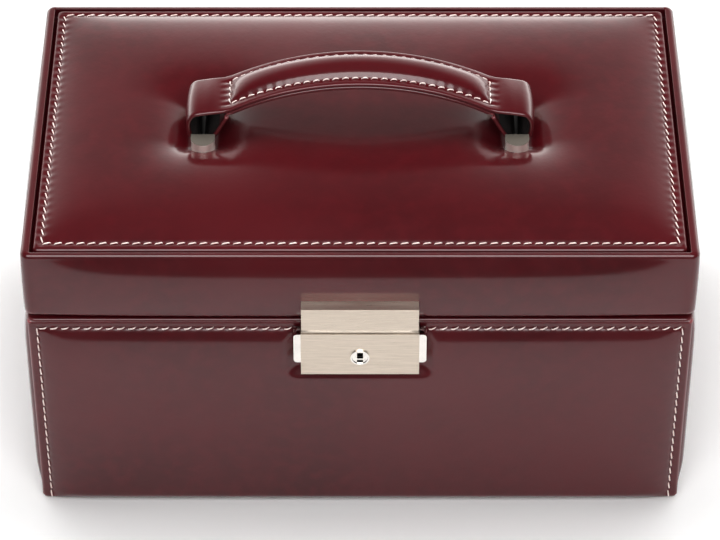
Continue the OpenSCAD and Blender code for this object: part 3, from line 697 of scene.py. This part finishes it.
def build_strip():
    top_roll = 1.0
    back_top = HINGE_Z - (HALF_D - HINGE_Y) * math.tan(math.radians(HINGE_BEVEL + 1)) - 0.1
    skirt = STRIP_R * math.pi / 2 - STRIP_R + 0.6
    xs = fine_lines(-HALF_W - skirt, HALF_W + skirt, 1.0, (-FRONT_ROW_X, FRONT_ROW_X))
    front = fine_lines(0, CORE_TOP - BEND_R, 1.0, (FRONT_ROW_DROP,))
    quarter = np.linspace(0, BEND_R * math.pi / 2, 7)[1:]
    bend = CORE_TOP - BEND_R + quarter
    floor_end = bend[-1] + 2 * (HALF_D - BEND_R)
    floor = np.linspace(bend[-1], floor_end, 40)[1:]
    rear_bend = floor_end + quarter
    back_end = rear_bend[-1] + (back_top - BEND_R)
    back = steps(rear_bend[-1], back_end, 1.3)[1:]
    ss = np.concatenate([front, bend, floor, rear_bend, back])
    outer, inner = [], []
    for s in ss:
        (y, z), (ny, nz) = strip_path(s)
        narrow = BEND_R * (1 - math.sqrt(max(0.0, 1 - max(0.0, 1 - z / BEND_R) ** 2)))
        px, drop = unroll(xs, HALF_W, STRIP_R)
        px = px * (1 - narrow / HALF_W)
        height = strip_height(px, y, z)
        edge = max(top_roll - s, 0) / top_roll
        height = height - top_roll * (1 - math.sqrt(max(0, 1 - edge ** 2)))
        off = height - drop
        outer.append(np.stack([px, y + ny * off, np.maximum(z + nz * off, 0.0)], axis=-1))
        depth = 2.6 if abs(ny) > 0.5 else 1.8
        inner.append([(x, y - ny * depth, z - nz * depth)
                      for x in np.clip(px, -HALF_W + 1.4, HALF_W - 1.4)])
    piece = grid_shell("base_leather_strip", np.array(outer), np.array(inner))
    finish_piece(piece, LEATHER, "base", ["base_cover"])

    def on_strip(x, s):
        (y, z), (ny, nz) = strip_path(s)
        off = float(strip_height(np.array(x), y, z)) + THREAD_LIFT
        return np.array([x, y + ny * off, z + nz * off])

    # No thread where it would lie between the case and the floor
    down = [stitch for stitch in even_stitches(FRONT_ROW_DROP, back_end - 4, STITCH)
            if strip_path(stitch[0])[0][1] >= 0.35]
    rows = []
    for x in (-FRONT_ROW_X, FRONT_ROW_X):
        rows.append(stitch_row(lambda s: on_strip(x, s), lambda s: (0, *strip_path(s)[1]), down))
    rows.append(stitch_row(lambda s: on_strip(s - FRONT_ROW_X, FRONT_ROW_DROP),
                           lambda s: (0, -1, 0),
                           even_stitches(0, 2 * FRONT_ROW_X, STITCH), slant=0.26))
    stitching("base_front_stitches", rows, "base")


build_strip()


# ---- Padded sides of the base ----

def build_side(side):
    half_y = HALF_D - 3.0
    low, high = 0.9, CORE_TOP - 0.1
    centre_z, half_z = (low + high) / 2, (high - low) / 2
    r = 2.4
    skirt = r * math.pi / 2 - r + 0.3
    gy, gz = np.meshgrid(*(fine_lines(-half - skirt, half + skirt, 1.8, (-half, half), reach=3.5,
                                      fine=0.5) for half in (half_y, half_z)))
    py, drop_y = unroll(gy, half_y, r)
    pz, drop_z = unroll(gz, half_z, r)
    dy, dz = half_y - np.abs(py), half_z - np.abs(pz)
    foot = smooth(0, 18, pz + half_z)
    puff = (0.9 + 1.8 * foot) * swell(dy + 0.6, 3.0) * swell(dz + 0.6, 5.0)
    out = HALF_W + puff - np.maximum(drop_y, drop_z)
    outer = np.stack([side * out, py, pz + centre_z], axis=-1)
    inner = outer.copy()
    inner[..., 0] = side * (HALF_W - 2.9)
    hand = "right" if side > 0 else "left"
    piece = grid_shell(f"base_side_{hand}", outer, inner)
    finish_piece(piece, LEATHER, "base", [f"side_cover_{hand}"])


for side in (-1, 1):
    build_side(side)


# ---- Rolled edge round the base's top ----

def bead_profile(station):
    """The bead's outline: up from inside, over the base's edge and under its outer side."""
    side, t, turn = station
    x = abs(t) * (HALF_W - CORNER_R) if turn is None else HALF_W
    low, high = CORE_TOP + 0.02, BASE_TOP
    inner = [(-7.0, low), (-7.0, high - 0.45), (-6.75, high - 0.1), (-6.3, high)]
    if side == 2 and x < HINGE_HALF:
        return inner + [(-5.6, high), (-4.8, high), (-4.55, high - 0.2), (-4.4, high - 1.1),
                        (-3.9, low + 0.05), (-3.6, low + 0.03), (-3.4, low + 0.02),
                        (-3.2, low + 0.01), (-3.1, low), (-5.0, low)]
    if side == 2:
        return inner + [(-4.0, high), (-2.6, high), (-2.0, high - 0.15), (-1.6, high - 0.5),
                        (-1.2, high - 0.9), (-1.0, high - 1.15), (-0.9, high - 1.3),
                        (-0.9, high - 1.4), (-1.0, low), (-4.0, low)]
    r = 0.95
    stand = 0.1
    arc = arc_points((stand - r, high - 0.75), r, 88, -80, 8)
    return clear_hinge(station, inner + [(-3.0, high)] + arc + [(-4.0, low)], False)


def build_bead():
    piece = ring_piece("base_rim_bead", OUTLINE, bead_profile)
    finish_piece(piece, LEATHER, "base", ["base_rim_binding"])


build_bead()


# ---- Handle ----

STRAP_LOW, STRAP_HIGH = span("handle_strap")
STRAP_HALF = (STRAP_HIGH[1] - STRAP_LOW[1]) / 2
ARCH_R = 112.0
ARCH_Z = 167.6 - ARCH_R
GRIP_HALF = 52.5
SKIN = 1.7
GRIP_ROW_Y = 7.3
GRIP_PITCH = 3.9
GRIP_END_PITCH = 3.65
GRIP_SWELL = 3.4
FACE_POINTS = 31


def arch_point(x, depth=0.0):
    """A point of the strap's arch, depth below its outer face, and the outward normal."""
    z = math.sqrt(ARCH_R ** 2 - x ** 2)
    nx, nz = x / ARCH_R, z / ARCH_R
    return (x - nx * depth, ARCH_Z + z - nz * depth), (nx, nz)


def loop_line():
    """The outer face of the right end loop, from the arch round the pin to the tail's end, as
    (x, z) with the arch's side of the strap outward."""
    start = arch_point(GRIP_HALF + 1.5)[0]
    top = (PIN_X - 1.0, 152.6)
    shoulder = (PIN_X + 4.2, 151.2)
    wall_high = (PIN_X + 6.6, 147.0)
    wall_low = (PIN_X + 6.3, 141.0)
    bottom = [(PIN_X + 4.6 * math.cos(a), PIN_Z + 4.75 * math.sin(a))
              for a in np.radians([-20, -45, -70, -95, -120])]
    tail = [(PIN_X - 5.0, 139.5), (PIN_X - 8.2, 145.0), (PIN_X - 10.6, 149.6)]
    return [start, top, shoulder, wall_high, wall_low, *bottom, *tail]


def smooth_line(points, per_span=6):
    """A Catmull-Rom curve through points."""
    p = [np.array(q, float) for q in points]
    p = [2 * p[0] - p[1], *p, 2 * p[-1] - p[-2]]
    line = []
    for i in range(1, len(p) - 2):
        for k in range(per_span):
            t = k / per_span
            line.append(0.5 * (2 * p[i] + (p[i + 1] - p[i - 1]) * t
                        + (2 * p[i - 1] - 5 * p[i] + 4 * p[i + 1] - p[i + 2]) * t ** 2
                        + (3 * p[i] - p[i - 1] - 3 * p[i + 1] + p[i + 2]) * t ** 3))
    line.append(p[-2])
    return line


def strap_centreline():
    """The strap's outer face from tail to tail, as (x, z) points."""
    right = smooth_line(loop_line())
    left = [np.array((-p[0], p[1])) for p in right][::-1]
    xs = np.linspace(-GRIP_HALF, GRIP_HALF, 130)
    middle = [np.array(arch_point(x)[0]) for x in xs]
    return left[:-1] + middle + right[1:]


def band_section(half, bulge):
    """The (y, height) outline of the strap's leather: bulge(y) raises its outer face."""
    r = SKIN / 2
    ys = np.linspace(-half + r, half - r, FACE_POINTS)
    edge = [(half - r + r * math.sin(a), -r + r * math.cos(a))
            for a in np.radians([30, 60, 90, 120, 150])]
    low = [(y, -SKIN) for y in ys[::-1]]
    return [(y, bulge(y)) for y in ys] + edge + low + [(-y, h) for y, h in edge[::-1]]


def padding(x, y):
    """How full the grip's filler is at a place, from 0 at its seams to 1."""
    across = max(0.0, 1 - (abs(y) / (GRIP_ROW_Y - 0.3)) ** 2.2)
    return across ** 0.62 * float(swell(GRIP_HALF - abs(x), 3.5))


def grip_bulge(x, y):
    """How far the padding and the seams lift the leather at a place on the grip."""
    rise = GRIP_SWELL * padding(x, y)
    if abs(x) < GRIP_HALF + 1:
        rise += float(seam(np.array(abs(y) - GRIP_ROW_Y), np.array(x), GRIP_PITCH, depth=0.4,
                           width=0.8, pucker=0.12))
    if abs(y) < GRIP_ROW_Y + 0.8:
        rise += float(seam(np.array(abs(x) - GRIP_HALF), np.array(y), GRIP_END_PITCH, depth=0.45,
                           width=0.9, pucker=0.35))
    return rise


def strap_half_width(x):
    """The strap is a little narrower along the grip than at its loops."""
    return STRAP_HALF - 0.25 - 0.3 * float(1 - smooth(40, 62, abs(x)))


def build_strap_top():
    line = strap_centreline()
    sections = []
    for i, p in enumerate(line):
        ahead = line[min(i + 1, len(line) - 1)] - line[max(i - 1, 0)]
        ahead /= np.linalg.norm(ahead)
        normal = np.array((-ahead[1], ahead[0]))
        on_arch = abs(p[0]) < GRIP_HALF + 3 and p[1] > 150
        half = strap_half_width(p[0])
        crown = 0.9 * float(smooth(-0.3, 0.5, normal[1])
                            * smooth(GRIP_HALF + 2.5, GRIP_HALF + 8, abs(p[0])))

        def bulge(y):
            if on_arch:
                return grip_bulge(p[0], y)
            return crown * (1 - (y / half) ** 2)

        section = []
        for y, h in band_section(half, bulge):
            section.append((p[0] + normal[0] * h, y, p[1] + normal[1] * h))
        sections.append(section)
    piece = loft("handle_strap_upper", sections)
    finish_piece(piece, STRAP_LEATHER, "handle",
                 ["handle_strap", "handle_filler"])
    # The second material, near-black, goes on the loops' inner faces: painted shade inside the
    # loops.
    piece.data.materials.append(FLESH_SIDE_SHADE)
    size = len(sections[0])
    for face in piece.data.polygons:
        station, k = divmod(face.index, size)
        x = abs(line[min(station, len(line) - 1)][0])
        if FACE_POINTS + 2 < k < size - 6 and x > GRIP_HALF + 2.5:
            face.material_index = 1


def build_strap_under():
    """The lining leather below the grip, which swells over the other half of the filler."""
    sections = []
    reach = GRIP_HALF + 2.2
    for x in np.linspace(-reach, reach, 110):
        (px, pz), (nx, nz) = arch_point(x, SKIN + 0.02)
        half = strap_half_width(x) - 0.15
        end = smooth(0, 2.0, reach - abs(x))
        section = []
        for y, h in band_section(half, lambda v: 0.0):
            if h < -SKIN * 0.6:
                h -= 3.0 * padding(x, y)
            h = h * (0.35 + 0.65 * float(end))
            section.append((px + nx * h, y, pz + nz * h))
        sections.append(section)
    piece = loft("handle_strap_lower", sections)
    finish_piece(piece, STRAP_LEATHER, "handle")


def grip_row(place, length, pitch, lift):
    """One row of stitches on the grip's leather: place(s) is the seam's (x, y)."""
    def path(s):
        x, y = place(s)
        (px, pz), (nx, nz) = arch_point(x)
        h = grip_bulge(x, y) + lift
        return np.array([px + nx * h, y, pz + nz * h])

    def normal(s):
        nx, nz = arch_point(place(s)[0])[1]
        return nx, 0, nz

    return stitch_row(path, normal, even_stitches(0, length, pitch))


def build_handle_stitches():
    sweep = math.asin(GRIP_HALF / ARCH_R)
    rows = []
    for y in (-GRIP_ROW_Y, GRIP_ROW_Y):
        rows.append(grip_row(lambda s: (ARCH_R * math.sin(s / ARCH_R - sweep), y),
                             2 * sweep * ARCH_R, GRIP_PITCH, THREAD_LIFT))
    for x in (-GRIP_HALF, GRIP_HALF):
        rows.append(grip_row(lambda s: (x, s - GRIP_ROW_Y), 2 * GRIP_ROW_Y, GRIP_END_PITCH,
                             THREAD_LIFT + 0.02))
    stitching("handle_stitches", rows, "handle")


build_strap_top()
build_strap_under()
build_handle_stitches()


# ---- Inside: linings, mirror frame, tray pads and ring rolls ----

def lining_wall(name, node, thick, low, top, body, radius=1.2):
    """An upright lining round a room, with a rolled top edge: top(y) is its height."""
    half_w, half_d = span(node)[1][:2]
    ring = Ring(half_w - 0.02, half_d - 0.02, radius, 4.0)
    r = thick / 2

    def profile(station):
        high = top(ring.place(station, 0)[1])
        rolled = arc_points((-r, high - r), r, 0, 180, 9)
        return [(0, low)] + rolled + [(-thick, low)]

    piece = ring_piece(name, ring, profile)
    return finish_piece(piece, SUEDE, body, [node])


def lining_pad(name, low, high, face, crown, body, up=1):
    """A thin padded panel between two (x, y) corners: face is its seam height, and it
    swells by crown away from its board (up is 1 for a floor and -1 for a ceiling)."""
    gx, gy = np.meshgrid(*(fine_lines(a, b, 4.0, (a, b), reach=5, fine=1.0)
                           for a, b in zip(low, high)))
    edge_x = np.minimum(gx - low[0], high[0] - gx)
    edge_y = np.minimum(gy - low[1], high[1] - gy)
    rise = crown * swell(edge_x, 3.0) * swell(edge_y, 3.0) - 0.35
    rise = rise + 0.06 * np.sin(gx * 0.35 + 1.1) * np.sin(gy * 0.29)
    outer = np.stack([gx, gy, face + up * rise], axis=-1)
    inner = np.stack([gx, gy, np.full_like(gx, face - up * 0.8)], axis=-1)
    piece = grid_shell(name, outer, inner)
    return finish_piece(piece, SUEDE, body)


def build_base_lining():
    """Walls that rise to a collar everywhere but along the hinge, and six floor pads."""
    thick = 1.8
    low, high = span("base_lining")
    collar_rear = span("lid_lining")[1][1] - 8.5

    def top(y):
        return high[2] - (high[2] - BASE_TOP) * float(smooth(collar_rear - 4, collar_rear, y))

    lining_wall("base_lining_walls", "base_lining", thick, low[2], top, "base")
    floor = span("divider_long")[0][2]
    half_w, half_d = high[0] - thick, high[1] - thick
    split_x = abs(span("dividers_short")[0][0]) - 1.5
    edges_x = (-half_w, -split_x, split_x, half_w)
    count = 0
    for x0, x1 in zip(edges_x, edges_x[1:]):
        for y0, y1 in ((-half_d, 0), (0, half_d)):
            count += 1
            lining_pad(f"base_floor_pad_{count}", (x0 + 0.1, y0 + 0.1), (x1 - 0.1, y1 - 0.1),
                       floor, 1.2, "base")


def build_lid_lining():
    low, high = span("lid_lining")
    ceiling = span("mirror_frame")[1][2]
    half_w, half_d = high[:2]
    ring = Ring(half_w - 0.02, half_d - 0.02, 1.0, 4.0)

    def profile(_):
        rolled = arc_points((-0.5, low[2] + 0.5), 0.5, 180, 360, 7)
        return [(-1.0, high[2] - 0.1)] + rolled + [(0, high[2] - 0.1)]

    piece = ring_piece("lid_lining_walls", ring, profile)
    finish_piece(piece, SUEDE, "lid", ["lid_lining"])
    lining_pad("lid_ceiling_pad", (-half_w + 1.1, -half_d + 1.1), (half_w - 1.1, half_d - 1.1),
               ceiling, 1.5, "lid", up=-1)


def build_mirror_frame():
    """A padded frame: round below, flat on the lid, with a rebate for the glass."""
    low, high = span("mirror_frame")
    glass_low = span("lid_mirror")[0][2]
    half = 6.5
    ring = Ring(high[0] - half, high[1] - half, 4.0, 2.5, corner_steps=8)
    lap = half - 3.2

    def profile(station):
        side, t, turn = station
        along = t * high[side % 2] if turn is None else 0.0
        gather = 0.12 * math.cos(along * 0.9)
        below = []
        for u in np.linspace(-1, 1, 17):
            deep = max(0.0, 1 - abs(u) ** 2.4) ** 0.6
            seat = glass_low - 0.1 if u < 0 else high[2] - 2.6
            below.append((half * u, seat - (seat - low[2] + 0.9 + gather) * deep))
        return below + [(half, high[2] - 0.05), (-lap, high[2] - 0.05), (-lap, glass_low - 0.08)]

    piece = ring_piece("mirror_frame_pad", ring, profile)
    finish_piece(piece, SUEDE, "lid", ["mirror_frame"])


def build_tray_lining():
    """Walls, and a floor pad in each cell between the tray's dividers."""
    thick = 1.0
    low, high = span("tray_lining")
    lining_wall("tray_lining_walls", "tray_lining", thick, low[2], lambda y: high[2], "tray")
    wall_w, wall_d = high[:2]
    floor = span("tray_dividers")[0][2]
    split_x = span("ring_rolls")[1][0] + 1.2
    left_mid = (split_x - wall_w + thick) / 2
    third = (wall_d - thick) / 3
    cells = [((-wall_w, 0), (left_mid, wall_d)), ((left_mid, 0), (split_x, wall_d)),
             ((-wall_w, -wall_d), (split_x, 0))]
    cells += [((split_x, -wall_d), (wall_w, -third)), ((split_x, -third), (wall_w, third)),
              ((split_x, third), (wall_w, wall_d))]
    gap = 1.1
    for i, (a, b) in enumerate(cells):
        lining_pad(f"tray_floor_pad_{i + 1}", (a[0] + gap, a[1] + gap), (b[0] - gap, b[1] - gap),
                   floor, 1.2, "tray")


def build_ring_rolls():
    """Four soft rolls, gathered at their ends and a little flat where they rest."""
    low, high = span("ring_rolls")
    count = 4
    radius = (high[2] - low[2]) / 2
    pitch = (high[1] - low[1] - 2 * radius) / (count - 1)
    length = high[0] - low[0]
    draw = random.Random(7)
    for roll in range(count):
        y0 = low[1] + radius + pitch * roll
        z0 = (low[2] + high[2]) / 2
        phase = [draw.uniform(0, 6.28) for _ in range(4)]
        sections = []
        for u in np.linspace(0, 1, 72):
            x = low[0] + length * (0.5 - 0.5 * math.cos(math.pi * u))
            end = min(x - low[0], high[0] - x)
            close = math.sqrt(max(0.0, 1 - max(0.0, 1 - end / 5.0) ** 2))
            full = radius * (0.28 + 0.72 * close)
            section = []
            for k in range(28):
                a = 2 * math.pi * k / 28
                pucker = 0.35 * math.cos(7 * a + phase[0]) * math.exp(-(end / 5.0) ** 2)
                drape = 0.16 * math.sin(x * 0.11 + phase[1]) * math.cos(2 * a + phase[2])
                r = full + (pucker + drape) * close
                y = y0 + r * 1.03 * math.cos(a)
                z = z0 + r * (0.98 if math.sin(a) > 0 else 0.92) * math.sin(a)
                section.append((x, y, z))
            sections.append(section)
        piece = loft(f"ring_roll_{roll + 1}", sections)
        replaced = ["ring_rolls"] if roll == 0 else []
        finish_piece(piece, ROLL_SUEDE, "tray", replaced)


build_base_lining()
build_lid_lining()
build_mirror_frame()
build_tray_lining()
build_ring_rolls()


# ---- Lock: the folded lip along the housing's top edge ----

def build_lock_lip():
    low, high = LOCK_LOW[0] + 0.3, LOCK_HIGH[0] - 0.3
    front = LOCK_LOW[1] + 0.12
    base, top = LOCK_HIGH[2] - 0.1, BASE_TOP + 0.25
    thick, r = 1.3, 0.4
    outline = [(front, base)] + arc_points((front + r, top - r), r, 180, 90, 5)
    outline += arc_points((front + thick - r, top - r), r, 90, 0, 5) + [(front + thick, base)]
    sections = [[(x, y, z) for y, z in outline] for x in steps(low, high, 4.0)]
    lip = loft("lock_housing_lip", sections)
    finish_piece(lip, NICKEL, "base")


build_lock_lip()


# ---- CAD nodes: materials and softened edges ----

def dress(names, material, bevel=0.0, segments=2):
    """Gives CAD nodes a material, and rounds their sharp edges by bevel millimetres."""
    for name in names:
        obj = nodes[name]
        obj.data.materials.clear()
        obj.data.materials.append(material)
        if bevel:
            soften = obj.modifiers.new("soft_edges", "BEVEL")
            soften.width = bevel * MM
            soften.segments = segments
            soften.limit_method = "ANGLE"
            soften.angle_limit = math.radians(40)
            soften.harden_normals = True


dress(["lock_housing"], NICKEL, 0.55, 4)
dress(["lock_hasp"], NICKEL, 0.3, 3)
dress(["lock_back_plate"], NICKEL)
dress(["lock_button_left", "lock_button_right"], CHROME, 0.45, 3)
dress(["lock_barrel"], CHROME, 0.12)
dress(["lock_plug"], PLUG, 0.1)
dress([n for n in nodes if n.startswith("handle_post")], TURNED, 0.3, 3)
dress([n for n in nodes if n.startswith("handle_pin")], BLACKENED_FOR_SHADE)
dress(["lock_screws", "lock_cam", "lock_cam_clip", "latch_slide_left", "latch_slide_right",
       "lock_spring_left", "lock_spring_right", "hasp_screws", "handle_washers",
       "handle_screws", "hinge_pin"], STEEL)
dress(["hinge_leaf_base", "hinge_leaf_lid", "hinge_screws_base", "hinge_screws_lid"], BRASS)
dress(["base_core", "lid_core", "lid_panel_board"], BOARD)
dress(["tray_ledges", "divider_long", "dividers_short", "tray_dividers"], SUEDE, 0.8, 3)
dress(["lid_mirror"], GLASS, 0.3)
dress(["tray_shell", "tray_pulls"], TRAY_LEATHER, 0.5, 3)


# ---- Floor, light and camera ----

def stage_plane(name, centre, size, grey, **values):
    """A level studio surface, in an all but even grey."""
    s = Shader(f"{name}_grey", **values)
    s.link(s.mix(s.noise(2, 2), (grey,) * 3, (grey + 0.02,) * 3), "Base Color")
    half_x, half_y = size[0] / 2, size[1] / 2
    mesh = bpy.data.meshes.new(name)
    mesh.from_pydata([(-half_x, -half_y, 0), (half_x, -half_y, 0), (half_x, half_y, 0),
                      (-half_x, half_y, 0)], [], [(0, 1, 2, 3)])
    plane = bpy.data.objects.new(name, mesh)
    plane.location = centre
    mesh.materials.append(s.material)
    bpy.context.scene.collection.objects.link(plane)
    return plane


def build_floor():
    stage_plane("floor", (0, 0, 0), (3.0, 3.0), 0.86, Roughness=0.75, Specular_IOR_Level=0.1)


def build_flag():
    """A dark studio card low in front: only reflections see it."""
    flag = stage_plane("flag", (0, -1.37, 0.003), (3.0, 2.0), 0.05, Roughness=0.9,
                       Specular_IOR_Level=0.0)
    for ray in ("camera", "diffuse", "shadow", "transmission"):
        setattr(flag, f"visible_{ray}", False)


def area_light(name, location, target, size, power):
    light = bpy.data.lights.new(name, "AREA")
    light.shape = "RECTANGLE"
    light.size, light.size_y = size
    light.energy = power
    obj = bpy.data.objects.new(name, light)
    obj.location = location
    aim = Vector(target) - Vector(location)
    obj.rotation_euler = aim.to_track_quat("-Z", "Y").to_euler()
    bpy.context.scene.collection.objects.link(obj)
    return obj


def build_world():
    """Bright and wide at the height of the backdrop, dim overhead and dark in front. The
    camera itself sees an even pale grey."""
    world = bpy.data.worlds.new("studio")
    bpy.context.scene.world = world
    world.use_nodes = True
    tree = world.node_tree
    coords = tree.nodes.new("ShaderNodeTexCoord")
    split = tree.nodes.new("ShaderNodeSeparateXYZ")
    tree.links.new(coords.outputs["Generated"], split.inputs[0])
    strength = None
    for axis, *limits in (("Z", 0.25, 0.80, 1.7, 0.14), ("Z", 0.05, 0.32, 2.0, 1.0),
                          ("Y", -0.35, 0.75, 0.02, 1.0)):
        ranged = tree.nodes.new("ShaderNodeMapRange")
        ranged.interpolation_type = "SMOOTHSTEP"
        tree.links.new(split.outputs[axis], ranged.inputs["Value"])
        for key, value in zip(("From Min", "From Max", "To Min", "To Max"), limits):
            ranged.inputs[key].default_value = value
        if strength is None:
            strength = ranged.outputs[0]
            continue
        times = tree.nodes.new("ShaderNodeMath")
        times.operation = "MULTIPLY"
        tree.links.new(strength, times.inputs[0])
        tree.links.new(ranged.outputs[0], times.inputs[1])
        strength = times.outputs[0]
    studio = tree.nodes["Background"]
    tree.links.new(strength, studio.inputs["Strength"])
    studio.inputs["Color"].default_value = (1.0, 0.985, 0.96, 1)
    plain = tree.nodes.new("ShaderNodeBackground")
    plain.inputs["Color"].default_value = (0.86, 0.86, 0.86, 1)
    path = tree.nodes.new("ShaderNodeLightPath")
    either = tree.nodes.new("ShaderNodeMixShader")
    tree.links.new(path.outputs["Is Camera Ray"], either.inputs[0])
    tree.links.new(studio.outputs[0], either.inputs[1])
    tree.links.new(plain.outputs[0], either.inputs[2])
    tree.links.new(either.outputs[0], tree.nodes["World Output"].inputs["Surface"])


def build_lights():
    overhead = area_light("overhead", (0, 0.3, 1.3), (0, 0.05, 0), (1.4, 0.7), 16)
    overhead.visible_glossy = False
    area_light("key_front", (0, -1.25, 1.35), (0, 0, 0.1), (1.8, 1.2), 30)
    gloss = area_light("gloss_front", (0, -1.25, 1.35), (0, 0, 0.1), (1.8, 1.2), 62)
    gloss.visible_diffuse = False


def build_camera():
    camera = bpy.data.cameras.new("camera")
    camera.lens = 166.2
    camera.sensor_width = 36
    camera.clip_start, camera.clip_end = 0.05, 20
    obj = bpy.data.objects.new("camera", camera)
    obj.location = (0, -1.0400, 1.0098)
    look_down = 42.5
    obj.rotation_euler = (math.radians(90 - look_down), 0, 0)
    bpy.context.scene.collection.objects.link(obj)
    bpy.context.scene.camera = obj


build_floor()
build_flag()
build_world()
build_lights()
build_camera()
bpy.context.scene.view_settings.view_transform = "Standard"
bpy.context.scene.view_settings.gamma = 0.85
